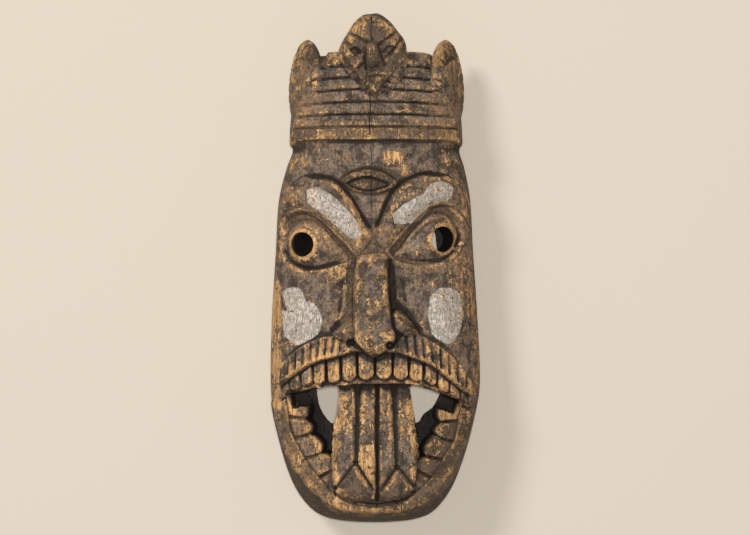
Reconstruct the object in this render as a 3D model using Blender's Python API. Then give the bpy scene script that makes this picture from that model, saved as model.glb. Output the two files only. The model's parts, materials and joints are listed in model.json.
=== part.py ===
# A carved wooden mask lying on its hollow back, face up. One log is cut into a fierce face with a third
# eye, bared teeth and a long tongue, under a banded crown with three upright leaves. The middle leaf has
# a small face of its own. The crown is towards +Y, and the back rim rests on Z = 0.
import bpy
import bmesh
import math
import numpy as np

# Driving sizes in metres
MASK_TALL = 0.613           # chin to the tip of the crown's middle leaf
MASK_WIDE = 0.252           # across the cheeks
FACE_DEEP = 0.112           # back rim to the middle of the lips
NOSE_RISE = 0.030           # tip of the nose above its surroundings
BROW_RISE = 0.006           # brow ridges above the forehead
SOCKET_DEPTH = 0.009        # eye sockets below the brows
EYE_RISE = 0.010            # eyeballs above the floor of their sockets
EYE_HOLE = 0.027            # bore through each eye
LIP_RISE = 0.0045           # upper lip, and crest of the lower lip
TOOTH_STEP = 0.005          # upper teeth set back under the lip
MOUTH_DEPTH = 0.046         # floor of the mouth below the lips
TONGUE_SUNK = 0.026         # root of the tongue below the lips
CROWN_STEP = 0.0045         # lower edge of the crown out over the forehead
BAND_CUT = 0.0032           # cuts between the crown's bands
LEAF_THICK = 0.030          # middle leaf of the crown, front to back
SIDE_LEAF_THICK = 0.026     # side leaves of the crown
LEAF_SPREAD = 0.076         # side leaves, front to back
CHISEL_CUT = 0.0035         # single chisel cuts
CROWN_DISH = 0.016          # hollow in the top of the crown
HOLLOW_WIDE = 0.158         # hollow of the back, side to side
HOLLOW_DEEP = 0.062         # hollow of the back, front to back
POINT_STEP = 0.0028         # spacing of the carved surface's points
TRIANGLES = 9400            # faces left in the finished solid

# Places on the carving are hundredths of the mask: across from the middle line by its width, and up from
# the chin by its height. Small widths are counted in hairs, near enough a millimetre each.
ACROSS = MASK_WIDE / 100
UP = MASK_TALL / 100
HAIR = MASK_TALL / 600


def at(across, up):
    return across * ACROSS, (up - 50) * UP


def smooth(t):
    t = np.clip(t, 0, 1)
    return t * t * (3 - 2 * t)


# A smooth curve through places on the mask, as an array of points in metres
def curve(*places, steps=6):
    p = np.array([at(*place) for place in places])
    q = np.vstack([2 * p[0] - p[1], p, 2 * p[-1] - p[-2]])
    t = (np.arange(steps) / steps)[:, None]
    runs = []
    for a, b, c, d in zip(q, q[1:], q[2:], q[3:]):
        runs.append(b + t / 2 * (c - a + t * (2 * a - 5 * b + 4 * c - d + t * (3 * b - a - 3 * c + d))))
    return np.vstack(runs + [p[-1:]])


# A smooth value that changes with the height on the mask, through pairs of height and value
def profile(pairs, up):
    key, value = np.array(pairs, float).T
    slope = np.gradient(value, key)
    i = np.clip(np.searchsorted(key, up, side="right") - 1, 0, len(key) - 2)
    gap = key[i + 1] - key[i]
    t = np.clip((up - key[i]) / gap, 0, 1)
    ease = smooth(t)
    bend = t * (1 - t) * gap * ((1 - t) * slope[i] - t * slope[i + 1])
    return value[i] * (1 - ease) + value[i + 1] * ease + bend


# Height of a curve that runs from left to right, at each x
def level(line, x):
    return np.interp(x, line[:, 0], line[:, 1])


# Distance from each point to a curve and the share along it, worked out only within reach of the curve
def follow(line, x, y, reach):
    gap = np.full(x.shape, 1.0)
    share = np.zeros(x.shape)
    low, high = line.min(axis=0) - reach, line.max(axis=0) + reach
    near = (x > low[0]) & (x < high[0]) & (y > low[1]) & (y < high[1])
    px, py = x[near], y[near]
    run = np.diff(line, axis=0)
    length = np.maximum(np.hypot(run[:, 0], run[:, 1]), 1e-9)
    start = np.concatenate([[0], np.cumsum(length)])
    best = np.full(px.shape, 1.0)
    along = np.zeros(px.shape)
    for (ax, ay), (dx, dy), size, begun in zip(line, run, length, start):
        t = np.clip(((px - ax) * dx + (py - ay) * dy) / size ** 2, 0, 1)
        square = (px - ax - t * dx) ** 2 + (py - ay - t * dy) ** 2
        closer = square < best
        best[closer] = square[closer]
        along[closer] = (begun + t * size)[closer]
    gap[near] = np.sqrt(best)
    share[near] = along / start[-1]
    return gap, share


# Distance inside a closed outline, negative outside it
def inside(outline, x, y, reach):
    loop = np.vstack([outline, outline[:1]])
    gap, _ = follow(loop, x, y, reach)
    within = np.zeros(x.shape, bool)
    for (ax, ay), (bx, by) in zip(loop, loop[1:]):
        if ay != by:
            within ^= ((ay > y) != (by > y)) & (x < (bx - ax) * (y - ay) / (by - ay) + ax)
    return np.where(within, gap, -gap)


# A rounded swelling inside an outline
def swell(outline, x, y, reach, rise, power=0.5):
    return rise * np.clip(inside(outline, x, y, reach) / reach, 0, 1) ** power


# A chisel cut along a curve, thinning out at its ends
def cut(line, x, y, width, depth, fade=0.12):
    gap, share = follow(line, x, y, width)
    ends = smooth(np.minimum(share, 1 - share) / fade + 0.25)
    return -depth * ends * np.clip(1 - gap / width, 0, 1)


# Brow ridges, eyes in their sockets, and the third eye
def brows_and_eyes(x, y):
    brows = (curve((-35.7, 67.8), (-31.9, 68.4), (-24.8, 68.2), (-17.6, 67.2), (-12.9, 65.0),
                   (-5.7, 60.2), (-1.0, 57.0), (-4.3, 54.3), (-8.6, 53.5), (-15.7, 56.4), (-23.3, 59.5),
                   (-29.0, 61.3), (-34.8, 62.1), (-41.0, 61.7), (-44.8, 60.3), (-45.2, 63.5),
                   (-41.9, 66.2)),
             curve((36.7, 67.8), (32.9, 68.6), (23.3, 68.8), (17.1, 68.0), (11.4, 66.6), (6.7, 64.0),
                   (0.5, 57.2), (2.4, 54.7), (6.2, 54.5), (10.0, 56.4), (15.7, 59.0), (21.9, 61.7),
                   (28.3, 63.3), (35.2, 63.3), (40.5, 61.7), (43.3, 60.1), (43.8, 62.5), (41.4, 65.4)))
    sockets = (curve((-45.2, 59.5), (-41.0, 61.3), (-34.5, 61.7), (-29.0, 60.9), (-23.3, 59.2),
                     (-15.7, 56.0), (-9.0, 52.9), (-11.9, 51.7), (-19.5, 50.5), (-27.1, 49.8),
                     (-34.8, 49.8), (-41.0, 51.1), (-44.8, 53.3), (-46.2, 56.4)),
               curve((43.3, 58.4), (40.5, 60.9), (35.2, 62.9), (28.3, 62.9), (21.9, 61.3), (15.7, 58.6),
                     (10.0, 56.0), (6.2, 53.7), (10.0, 51.7), (17.6, 50.9), (26.2, 50.9), (34.3, 51.7),
                     (40.0, 53.7), (43.3, 55.8)))
    eyes = (curve((-44.8, 56.4), (-40.5, 58.8), (-34.8, 59.7), (-29.0, 59.2), (-23.3, 57.6),
                  (-17.6, 55.0), (-11.9, 52.3), (-17.6, 51.3), (-26.2, 50.4), (-33.8, 50.4),
                  (-41.0, 51.7), (-44.3, 53.9)),
            curve((41.9, 56.8), (39.5, 59.2), (34.8, 60.9), (29.0, 61.1), (23.3, 59.7), (17.6, 57.6),
                  (12.9, 55.0), (9.0, 52.9), (15.7, 51.5), (24.3, 51.3), (32.9, 51.9), (39.0, 53.9)))
    upper_cuts = (curve((-32.9, 68.2), (-24.8, 68.2), (-17.6, 67.2), (-12.9, 65.0), (-9.5, 62.9),
                        (-5.7, 60.2), (-1.0, 57.2)),
                  curve((33.8, 68.4), (23.3, 68.8), (17.1, 68.0), (11.4, 66.6), (6.7, 64.0), (3.3, 60.8),
                        (0.0, 57.6)))
    rise = np.zeros(x.shape)
    for brow, socket, eye, upper_cut in zip(brows, sockets, eyes, upper_cuts):
        rise += swell(brow, x, y, 13 * HAIR, BROW_RISE)
        rise -= SOCKET_DEPTH * smooth(inside(socket, x, y, 20 * HAIR) / (6 * HAIR))
        rise += swell(eye, x, y, 20 * HAIR, EYE_RISE)
        rise += cut(eye, x, y, 2.2 * HAIR, CHISEL_CUT * 0.6, 0.001)
        rise += cut(upper_cut, x, y, 5 * HAIR, CHISEL_CUT * 1.4)
    rim = inside(curve((-17.6, 67.4), (-13.3, 68.7), (-8.1, 69.5), (-2.4, 69.8), (3.3, 69.3), (8.1, 68.2),
                       (11.4, 66.8), (7.1, 65.4), (2.4, 64.8), (-3.3, 64.6), (-9.5, 65.2),
                       (-13.8, 66.0)), x, y, 10 * HAIR)
    lens = curve((-12.9, 66.8), (-8.6, 67.7), (-2.9, 68.0), (2.4, 67.4), (6.2, 66.6), (1.4, 65.8),
                 (-3.8, 65.4), (-9.0, 65.9))
    rise += CHISEL_CUT * smooth(rim / (3 * HAIR))
    rise -= CHISEL_CUT * 1.4 * smooth(inside(lens, x, y, 10 * HAIR) / (2 * HAIR) + 1)
    return rise + swell(lens, x, y, 8 * HAIR, CHISEL_CUT * 1.3)


# Cheeks swell a little, and sink beside the nose
def cheeks(x, y):
    left = curve((-43.3, 45.5), (-35.7, 46.6), (-28.1, 44.7), (-24.3, 39.6), (-29.0, 36.5), (-37.6, 34.9),
                 (-43.3, 34.1), (-45.2, 40.0))
    right = curve((26.2, 45.9), (33.3, 46.6), (40.5, 43.9), (43.3, 38.0), (39.5, 34.1), (31.0, 36.1),
                  (25.2, 38.4), (23.3, 42.9))
    rise = sum(swell(cheek, x, y, 22 * HAIR, 0.6 * BROW_RISE, 0.7) for cheek in (left, right))
    for beside in (curve((-23.3, 48.6), (-11.9, 50.9), (-9.0, 45.9), (-11.9, 40.8), (-19.5, 38.0),
                         (-23.3, 42.3)),
                   curve((19.5, 49.4), (8.1, 51.3), (5.2, 45.9), (9.0, 42.7), (17.6, 40.4),
                         (21.4, 43.9))):
        rise += swell(beside, x, y, 16 * HAIR, -0.8 * BROW_RISE, 1)
    return rise


# The nose stands out along the view, with grooves beside it and two nostrils
def nose(x, y):
    bridge = curve((-9.5, 52.9), (-1.4, 53.5), (6.2, 53.1), (7.1, 49.4), (7.6, 43.9), (9.0, 39.6),
                   (10.5, 36.8), (6.7, 34.5), (-1.0, 32.8), (-7.1, 34.7), (-10.5, 36.8), (-11.0, 41.9),
                   (-11.0, 47.8))
    climb = profile([(32.0, 0.10), (32.7, 0.30), (34.1, 0.86), (35.5, 1.0), (39.0, 0.86), (43.9, 0.66),
                     (48.8, 0.47), (53.3, 0.34), (55.6, 0.30)], y / UP + 50)
    edge = inside(bridge, x, y, 30 * HAIR)
    wall = smooth(edge / (3.5 * HAIR))
    rise = NOSE_RISE * climb * (0.72 * wall + 0.28 * np.clip(edge / (18 * HAIR), 0, 1) ** 0.6)
    for wing in (curve((-10.0, 42.1), (-14.8, 40.4), (-20.5, 38.0), (-17.6, 36.5), (-11.9, 36.1),
                       (-6.2, 36.5), (-6.2, 40.0)),
                 curve((6.2, 42.1), (11.4, 42.5), (17.1, 40.4), (21.0, 37.8), (15.7, 37.2), (10.0, 37.2),
                       (5.2, 36.1))):
        rise = np.maximum(rise, swell(wing, x, y, 12 * HAIR, NOSE_RISE / 2, 0.6))
    for groove in (curve((-10.5, 52.5), (-11.2, 48.8), (-11.4, 43.9), (-13.3, 41.0), (-20.5, 37.8)),
                   curve((6.7, 52.5), (7.6, 47.8), (8.6, 42.9), (10.5, 43.1), (16.2, 41.2),
                         (21.4, 37.8))):
        rise += cut(groove, x, y, 7 * HAIR, 1.5 * CHISEL_CUT, 0.05)
    for nostril in (at(*(-11.4, 35.7)), at(*(7.1, 35.3))):
        away = np.hypot(x - nostril[0], y - nostril[1])
        rise -= 4.5 * CHISEL_CUT * smooth(1.4 - away / (5 * HAIR))
    return rise


# Upper lip: a hatched band, over a row of blunt teeth that crowd together towards the corners
LIP_TOP = [(-49.0, 25.9), (-47.1, 28.0), (-43.8, 31.8), (-37.1, 34.5), (-30.5, 36.1), (-21.4, 37.4),
           (-13.8, 36.7), (-8.6, 34.7), (-1.0, 33.7), (7.6, 35.1), (12.9, 37.4), (19.0, 37.9),
           (29.0, 35.7), (36.2, 33.3), (42.9, 30.0), (46.2, 26.7), (48.6, 24.3)]
LIP_LOW = [(-50.0, 25.1), (-47.1, 26.7), (-42.9, 28.2), (-37.1, 29.9), (-30.5, 31.6), (-23.3, 32.6),
           (-16.2, 33.3), (-9.5, 34.1), (-1.0, 33.5), (9.5, 33.9), (18.6, 32.7), (25.7, 31.6),
           (32.4, 29.6), (39.5, 27.3), (45.2, 25.5), (50.0, 23.5)]
TEETH_END = [(-50.0, 23.5), (-44.3, 25.1), (-39.8, 26.5), (-33.3, 27.3), (-27.1, 27.7), (-12.9, 28.4),
             (0.0, 28.8), (12.9, 28.7), (21.0, 28.2), (28.1, 27.5), (34.8, 25.9), (41.4, 23.9),
             (49.0, 22.0)]
TOOTH_PITCH = 8.7
TOOTH_CROWDING = 0.285
CORNER = 45
HATCH = ((-15.2, -46.2, 9), (13.8, 44.8, 8))


def upper_lip_and_teeth(x, y):
    top, low, end = (curve(*line) for line in (LIP_TOP, LIP_LOW, TEETH_END))
    offset = np.abs(x) / ACROSS
    corner = smooth(CORNER + 1 - offset)
    above_low = y - level(low, x)
    band = smooth(above_low / (1.6 * HAIR) + 0.5) * smooth((level(top, x) - y) / (2.5 * HAIR)) * corner
    rise = LIP_RISE * band
    for inner, outer, count in HATCH:
        for share in (np.arange(count) + 0.5) / count:
            foot = (inner + (outer - inner) * share) * ACROSS
            head = foot - math.copysign(3.5 * HAIR * (1 - share), inner)
            line = np.array([(head, level(top, head) - 2 * HAIR), (foot, level(low, foot) + 3 * HAIR)])
            rise += cut(line, x, y, 2.6 * HAIR, CHISEL_CUT, 0.2) * band
    root = np.sqrt(np.maximum(TOOTH_PITCH ** 2 - 4 * TOOTH_CROWDING * offset, 0))
    across = 2 * np.abs((TOOTH_PITCH - root) / (2 * TOOTH_CROWDING) % 1 - 0.5)
    tip = level(end, x) + 7.5 * HAIR * across ** 2.4
    tooth = smooth((y - tip) / (1.2 * HAIR) + 0.5) * smooth((0.93 - across) / 0.10)
    row = smooth(0.6 - above_low / (2 * HAIR)) * (y > level(end, x) - 4 * HAIR) * corner
    face = -TOOTH_STEP + 0.4 * TOOTH_STEP * (1 - across ** 2)
    return rise + row * np.where(tooth > 0, face * tooth - 2.5 * TOOTH_STEP * (1 - tooth), -2.5 * TOOTH_STEP)


# Mouth: wedge teeth slope in from the lower lip to a deep floor, and the tongue lies over it
LIP_INNER_LEFT = [(-43.3, 25.8), (-42.1, 23.2), (-40.2, 18.5), (-36.7, 15.6), (-32.4, 12.4), (-26.2, 9.3),
                  (-19.5, 6.3), (-11.9, 4.4), (1.0, 3.6)]
LIP_INNER_RIGHT = [(43.8, 24.3), (41.0, 22.6), (38.1, 16.7), (33.8, 14.0), (29.0, 10.4), (20.5, 6.7),
                   (11.9, 4.4), (1.0, 3.6)]
MOUTH_TOP = [(-43.3, 25.8), (-38.6, 26.3), (-33.3, 26.7), (-27.1, 27.1), (-12.9, 27.7), (0.0, 28.0),
             (12.9, 27.9), (21.0, 27.5), (29.0, 26.5), (36.7, 25.3), (43.8, 24.3)]
LIP_CREST = [(-48.1, 23.5), (-45.2, 19.4), (-41.0, 14.9), (-35.2, 10.4), (-26.7, 6.4), (-15.7, 3.7),
             (1.0, 2.9), (15.2, 3.7), (25.7, 5.9), (34.8, 10.4), (41.4, 15.7), (45.2, 22.2)]
LOWER_TEETH = 7
TONGUE = [(-17.6, 28.6), (-19.0, 22.4), (-20.5, 16.7), (-20.5, 11.6), (-20.0, 7.9), (-17.1, 5.9),
          (-11.9, 5.0), (1.0, 4.6), (12.9, 5.3), (17.6, 6.5), (19.5, 8.7), (20.5, 12.6), (21.0, 15.3),
          (19.3, 19.6), (16.7, 28.2)]


def mouth(x, y):
    lips = curve(*LIP_INNER_LEFT), curve(*LIP_INNER_RIGHT)
    roof = curve(*MOUTH_TOP)
    opening = np.vstack([lips[0], lips[1][-2::-1], roof[-2:0:-1]])
    deep = inside(opening, x, y, 75 * HAIR)
    floor = np.full(x.shape, -MOUTH_DEPTH)
    nearest = np.full(x.shape, 1.0)
    for lip in lips:
        gap, share = follow(lip, x, y, 75 * HAIR)
        across = 2 * np.abs((share * LOWER_TEETH - gap / (100 * HAIR)) % 1 - 0.5)
        reach = 24.5 * HAIR * (1 - 0.22 * across ** 2)
        slope = -TOOTH_STEP - 0.40 * gap - MOUTH_DEPTH * smooth((gap - reach) / (10 * HAIR))
        notch = 1.6 * CHISEL_CUT * np.clip(across / 0.20 - 4, 0, 1) * smooth(gap / (3 * HAIR))
        floor = np.where(gap < nearest, slope - notch, floor)
        nearest = np.minimum(gap, nearest)
    under_roof = level(roof, x) - y
    drop = -3 * TOOTH_STEP - 0.8 * MOUTH_DEPTH * smooth(under_roof / (4 * HAIR) - 0.25)
    floor = np.where(under_roof < 20 * HAIR, np.minimum(floor, drop), floor)
    return np.maximum(floor, -1.2 * MOUTH_DEPTH) * smooth(deep / (1.5 * HAIR)), deep > 0


def tongue(x, y):
    edge = inside(curve(*TONGUE), x, y, 30 * HAIR)
    top = profile([(3.8, -0.04), (6.3, -0.04), (10.6, -0.15), (16.5, -0.38), (22.4, -0.70), (28.2, -1)],
                  y / UP + 50)
    rise = TONGUE_SUNK * top - 4 * HAIR * (1 - np.clip(edge / (8 * HAIR), 0, 1)) ** 2
    middle = curve((1.2, 28.2), (1.0, 18.5), (1.2, 10.6), (1.2, 4.8))
    rise += cut(middle, x, y, 3.4 * HAIR, 2.4 * CHISEL_CUT, 0.02)
    for groove in (curve((-8.1, 28.2), (-8.3, 22.4), (-8.6, 16.5), (-8.8, 12.4)),
                   curve((9.0, 28.2), (9.5, 22.4), (10.0, 16.5), (10.2, 11.6))):
        rise += cut(groove, x, y, 5.6 * HAIR, 1.5 * CHISEL_CUT, 0.02)
    for flap in (curve((-9.0, 12.6), (-0.5, 7.1)), curve((-9.0, 12.6), (-19.0, 7.3)),
                 curve((10.5, 11.8), (2.4, 6.9)), curve((10.5, 11.8), (19.0, 7.7))):
        rise += cut(flap, x, y, 4.2 * HAIR, 1.2 * CHISEL_CUT, 0.04)
    return rise, edge > 0


# Crown: bands between shallow bowed cuts, on a front panel that stands proud of the sides
PANEL_LEFT = [(73.6, -42.4), (76.2, -40.5), (80.1, -37.6), (83.0, -35.2), (84.6, -31.9), (86.9, -30.5),
              (89.7, -29.0), (91.8, -23.3)]
PANEL_RIGHT = [(73.6, 43.3), (76.2, 41.9), (78.7, 39.5), (81.1, 37.1), (83.4, 34.8), (86.0, 33.8),
               (88.9, 32.9), (91.4, 28.1)]
CROWN_LOW = [(-42.4, 72.9), (-39.5, 74.4), (-35.7, 75.1), (-26.2, 75.5), (-7.1, 75.4), (11.9, 75.5),
             (31.0, 75.4), (38.6, 75.0), (43.3, 73.2)]
BANDS = 6
TOP_CUT = 90.1
BAND_PITCH = 2.43
BAND_BOW = 1.1


def crown(x, y):
    up = y / UP + 50
    on = smooth((y - level(curve(*CROWN_LOW), x)) / (1.6 * HAIR) + 0.5)
    sides = [np.interp(up, *np.array(side).T) * ACROSS for side in (PANEL_LEFT, PANEL_RIGHT)]
    within = np.minimum(x - sides[0], sides[1] - x)
    rise = CROWN_STEP * on * (1 - 1.2 * (1 - smooth(within / (3.5 * HAIR))))
    ends = smooth(within / (10 * HAIR))
    bow = BAND_BOW * (x / (31 * ACROSS)) ** 2
    for i in range(BANDS):
        above = up - TOP_CUT + i * BAND_PITCH + bow * (1 - i / BANDS)
        rise -= BAND_CUT * ends * np.clip(1 - np.abs(above) * UP / (2.2 * HAIR), 0, 1)
        slat = (above > 0) & (above < BAND_PITCH)
        rise += 0.4 * BAND_CUT * ends * on * np.where(slat, (1 - above / BAND_PITCH) ** 2, 0)
    return rise


# All the carving of the front: rise along the view, rise square to the surface, and the mouth's floor
def carving(x, y):
    floor, open_mouth = mouth(x, y)
    tongue_top, on_tongue = tongue(x, y)
    floor = np.where(open_mouth, np.where(on_tongue, np.maximum(floor, tongue_top), floor), 0)
    gap, _ = follow(curve(*LIP_CREST), x, y, 14 * HAIR)
    skin = brows_and_eyes(x, y) + cheeks(x, y) + upper_lip_and_teeth(x, y) + crown(x, y)
    skin += 0.8 * LIP_RISE * smooth(1 - gap / (11 * HAIR))
    return nose(x, y) + floor, np.where(open_mouth, 0, skin)


# Outline of the head from the front, each edge from the chin up to the shoulder of the crown
LEFT_EDGE = [(-1.4, 0.0), (-22.9, 1.2), (-33.8, 4.4), (-41.9, 10.6), (-48.1, 20.4), (-50.0, 27.8),
             (-49.5, 40.0), (-47.6, 53.7), (-46.2, 63.5), (-42.4, 70.1), (-39.5, 73.4), (-41.0, 75.6),
             (-40.0, 81.1), (-37.1, 86.0), (-31.4, 90.5), (-25.7, 92.4)]
RIGHT_EDGE = [(-0.5, 0.0), (21.9, 1.2), (32.4, 4.4), (40.5, 10.6), (48.0, 21.6), (50.4, 28.6),
              (49.0, 41.9), (47.1, 53.7), (45.7, 63.9), (42.9, 70.1), (40.5, 73.4), (41.9, 75.6),
              (41.0, 81.1), (37.6, 86.0), (32.4, 89.7), (27.6, 92.2)]
# Height of the middle line above the back rim, as a share of the face's depth, from the chin up
MIDDLE_RISE = [(0, 0.10), (0.5, 0.50), (1.4, 0.72), (3, 0.89), (6, 0.96), (14, 1.0), (27, 1.0),
               (40, 0.93), (55, 0.91), (63, 0.93), (73, 0.84), (76, 0.85), (88, 0.78), (91, 0.75),
               (92.4, 0.66)]
SHOULDER = 92.2
ROUNDNESS = 2.6


# Section across one half of the head, from the middle of the front to the back rim
def section(half_width, middle, count):
    waist = 0.30 * middle
    turn = np.linspace(0, math.pi / 2, 90)
    side = np.linspace(0, 1, 12)[1:]
    x = np.append(half_width * np.sin(turn) ** (2 / ROUNDNESS), half_width * (1 - 0.05 * side ** 1.5))
    z = np.append(waist + (middle - waist) * np.cos(turn) ** (2 / ROUNDNESS), waist * (1 - side))
    reach = np.concatenate([[0], np.cumsum(np.hypot(np.diff(x), np.diff(z)))])
    share = np.linspace(0, reach[-1], count)
    return np.interp(share, reach, x), np.interp(share, reach, z)


# Points of the carved surface, in rows from the chin up, each from the left back rim over the face
def head_points(step):
    half_count = int((MASK_WIDE / 2 + FACE_DEEP) * 0.88 / step)
    share = np.linspace(0, 1, int(MASK_TALL * 0.96 / step))
    ups = SHOULDER * share ** (1 + 0.25 * (1 - share) ** 6)
    left, right = curve(*LEFT_EDGE), curve(*RIGHT_EDGE)
    base = np.zeros((len(ups), 2 * half_count - 1, 3))
    for row, up in enumerate(ups):
        y = (up - 50) * UP
        for side, edge in ((-1, left), (1, right)):
            half_width = max(abs(np.interp(y, edge[:, 1], edge[:, 0])), 4 * HAIR)
            x, z = section(half_width, FACE_DEEP * profile(MIDDLE_RISE, up), half_count)
            base[row, half_count - 1::side, 0] = side * x
            base[row, half_count - 1::side, 2] = z
        base[row, :, 1] = y
    normal = np.cross(np.gradient(base, axis=1), np.gradient(base, axis=0))
    normal /= np.linalg.norm(normal, axis=2, keepdims=True)
    x, y, z = (base[..., i] for i in range(3))
    along_view, skin = carving(x, y)
    # the carving dies out down the sides, and the rim stays flat on the ground
    points = base + normal * (skin * smooth(z / FACE_DEEP / 0.42 - 0.55))[..., None]
    points[..., 2] = np.maximum(points[..., 2] + along_view, np.minimum(z, 0.27 * FACE_DEEP))
    points[:, [0, -1], 2] = 0
    return points


def new_object(name, bm, collection):
    mesh = bpy.data.meshes.new(name)
    bm.normal_update()
    bmesh.ops.recalc_face_normals(bm, faces=bm.faces)
    bm.to_mesh(mesh)
    bm.free()
    made = bpy.data.objects.new(name, mesh)
    collection.objects.link(made)
    return made


# The head is a grid moved onto the carved surface, closed by the crown's top, the chin's end and the back
def carve_head(collection, step):
    points = head_points(step)
    rows, columns, _ = points.shape
    bm = bmesh.new()
    bmesh.ops.create_grid(bm, x_segments=columns - 1, y_segments=rows - 1, size=1)
    sheet = {}
    for vert in bm.verts:
        row, column = round((vert.co.y + 1) / 2 * (rows - 1)), round((vert.co.x + 1) / 2 * (columns - 1))
        sheet[row, column] = vert
        vert.co = points[row, column]
    bm.faces.new([sheet[rows - 1, column] for column in range(columns)])
    bm.faces.new([sheet[0, column] for column in range(columns)])
    rim = [sheet[row, 0] for row in range(rows)] + [sheet[row, columns - 1] for row in reversed(range(rows))]
    bm.faces.new(rim)
    return new_object("head", bm, collection)


# Crown leaves: a sphere drawn out to the leaf's outline, flattened, and carved on its outer side
MIDDLE_LEAF = [(-1.9, 100.0), (1.9, 100.0), (7.1, 98.5), (11.0, 96.5), (14.0, 94.8), (15.1, 92.7),
               (15.1, 90.1), (13.3, 87.3), (10.0, 85.0), (6.2, 82.8), (1.9, 82.3), (-2.4, 82.8),
               (-6.7, 84.7), (-10.5, 86.9), (-15.0, 89.7), (-17.5, 91.8), (-17.1, 93.0), (-15.2, 94.8),
               (-12.9, 96.3), (-9.5, 98.5), (-5.7, 99.8)]
SIDE_LEAF_TURN = math.radians(61)
SIDE_LEAF_MIDDLE = 85.0
SIDE_LEAF_HALF = 8.9
SIDE_NOTCHES = 22


def small_face(x, y):
    shield = curve((-16.2, 92.8), (-11.9, 90.3), (-7.1, 87.5), (-2.9, 85.6), (0.5, 84.6), (4.3, 86.6),
                   (10.0, 89.3), (14.3, 91.3), (12.9, 94.4), (8.6, 97.3), (-1.4, 99.5), (-11.0, 97.3))
    rise = -0.8 * CHISEL_CUT * (1 - smooth(inside(shield, x, y, 10 * HAIR) / (1.4 * HAIR) + 0.5))
    rise += swell(curve((-5.2, 93.8), (-1.9, 94.4), (1.9, 93.6), (2.9, 91.3), (0.5, 89.7), (-2.4, 89.5),
                        (-4.8, 90.9)), x, y,
                  6 * HAIR, 1.7 * CHISEL_CUT)
    rise += swell(curve((-4.3, 88.1), (0.5, 88.9), (5.7, 88.3), (3.3, 86.9), (0.0, 86.4), (-2.9, 86.9)), x, y,
                  4 * HAIR, 0.9 * CHISEL_CUT)
    for eye in (curve((-12.4, 93.0), (-9.0, 93.4), (-6.2, 92.4), (-9.0, 91.6)), curve((3.3, 92.4),
                                                                                      (6.2, 93.6),
                                                                                      (9.5, 93.4),
                                                                                      (7.6, 91.8))):
        rise -= 1.2 * CHISEL_CUT * smooth(inside(eye, x, y, 10 * HAIR) / (2 * HAIR) + 0.5)
    for line in (curve((-13.8, 96.9), (-8.1, 95.4), (-2.9, 94.0)), curve((11.0, 96.9), (6.2, 95.2),
                                                                         (1.0, 93.6)),
                 curve((-15.2, 94.8), (-11.0, 93.6), (-6.7, 92.2)), curve((12.9, 95.2), (8.6, 92.8),
                                                                          (4.3, 91.3)),
                 curve((-4.3, 93.8), (-4.8, 91.3), (-4.3, 88.9)), curve((1.4, 93.6), (3.8, 90.9),
                                                                        (5.2, 89.7)),
                 curve((-8.1, 89.3), (-5.2, 90.3)), curve((-3.3, 87.5), (1.0, 87.8), (5.2, 87.7))):
        rise += cut(line, x, y, 2.6 * HAIR, CHISEL_CUT)
    for border in (curve((-16.2, 91.6), (-1.4, 83.2)), curve((14.3, 89.7), (4.3, 83.4))):
        _, share = follow(border, x, y, 12 * HAIR)
        ridge = np.abs(2 * ((share * 6 - (y - x) / (60 * HAIR)) % 1) - 1)
        outside = inside(shield, x, y, 10 * HAIR) < -2 * HAIR
        rise -= 0.6 * CHISEL_CUT * np.clip(ridge / 0.3 - 2.33, 0, 1) * outside
    return rise


# Notches round the rim of a side leaf, whose across is x and whose upright is y
def side_notches(x, y):
    y = (y - at(0, SIDE_LEAF_MIDDLE)[1]) / (SIDE_LEAF_HALF * UP)
    x = x / (LEAF_SPREAD / 2)
    out = np.hypot(x, y)
    turn = np.arctan2(y, x) * SIDE_NOTCHES / 2 / math.pi
    rise = -0.6 * CHISEL_CUT * smooth(1 - np.abs(out - 0.74) / 0.05)
    notch = smooth((np.abs(2 * (turn % 1) - 1) - 0.7) / 0.2)
    return rise - 0.8 * CHISEL_CUT * smooth((out - 0.74) / 0.05) * notch


def oval_leaf():
    turn = np.arange(72) * math.pi / 36
    tip = 1 + 0.16 * np.clip(np.sin(turn), 0, 1) ** 6
    return np.stack([LEAF_SPREAD / 2 * np.cos(turn),
                     at(0, SIDE_LEAF_MIDDLE)[1] + SIDE_LEAF_HALF * UP * np.sin(turn) * tip], 1)


def leaf(collection, name, outline, carve, thick, rings, spokes):
    middle = outline.mean(axis=0)
    arm = outline - middle
    angle = np.arctan2(arm[:, 1], arm[:, 0])
    order = np.argsort(angle)
    bm = bmesh.new()
    bmesh.ops.create_uvsphere(bm, u_segments=spokes, v_segments=rings, radius=1)
    co = np.array([vert.co for vert in bm.verts])
    turn = np.arctan2(co[:, 1], co[:, 0])
    spread = 1 - np.arccos(np.clip(np.hypot(co[:, 0], co[:, 1]), 0, 1)) / (math.pi / 2)
    size = spread * np.interp(turn, angle[order], np.hypot(arm[:, 0], arm[:, 1])[order], period=2 * math.pi)
    x, y = middle[0] + size * np.cos(turn), middle[1] + size * np.sin(turn)
    edge = np.clip(1 - spread ** 3.2, 0, 1) ** 0.5
    outer_side = co[:, 2] > 0.02
    z = np.sign(co[:, 2]) * thick / 2 * edge + carve(x, y) * outer_side * np.minimum(1, edge * 2.5)
    for vert, place in zip(bm.verts, np.stack([x, y, z], 1)):
        vert.co = place
    return new_object(name, bm, collection)


# Cutters
MOUTH_HOLES = ([(-28.1, 26.9), (-17.6, 27.5), (-17.4, 23.9), (-19.0, 20.4), (-21.0, 19.8), (-24.8, 21.6),
                (-27.1, 23.7)],
               [(16.5, 27.1), (19.3, 27.6), (24.3, 26.7), (31.0, 26.0), (30.5, 24.7), (27.6, 22.8),
                (23.3, 21.6), (19.5, 19.8)])
HOLLOW_ENDS = (9.8, 70.7)
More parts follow.
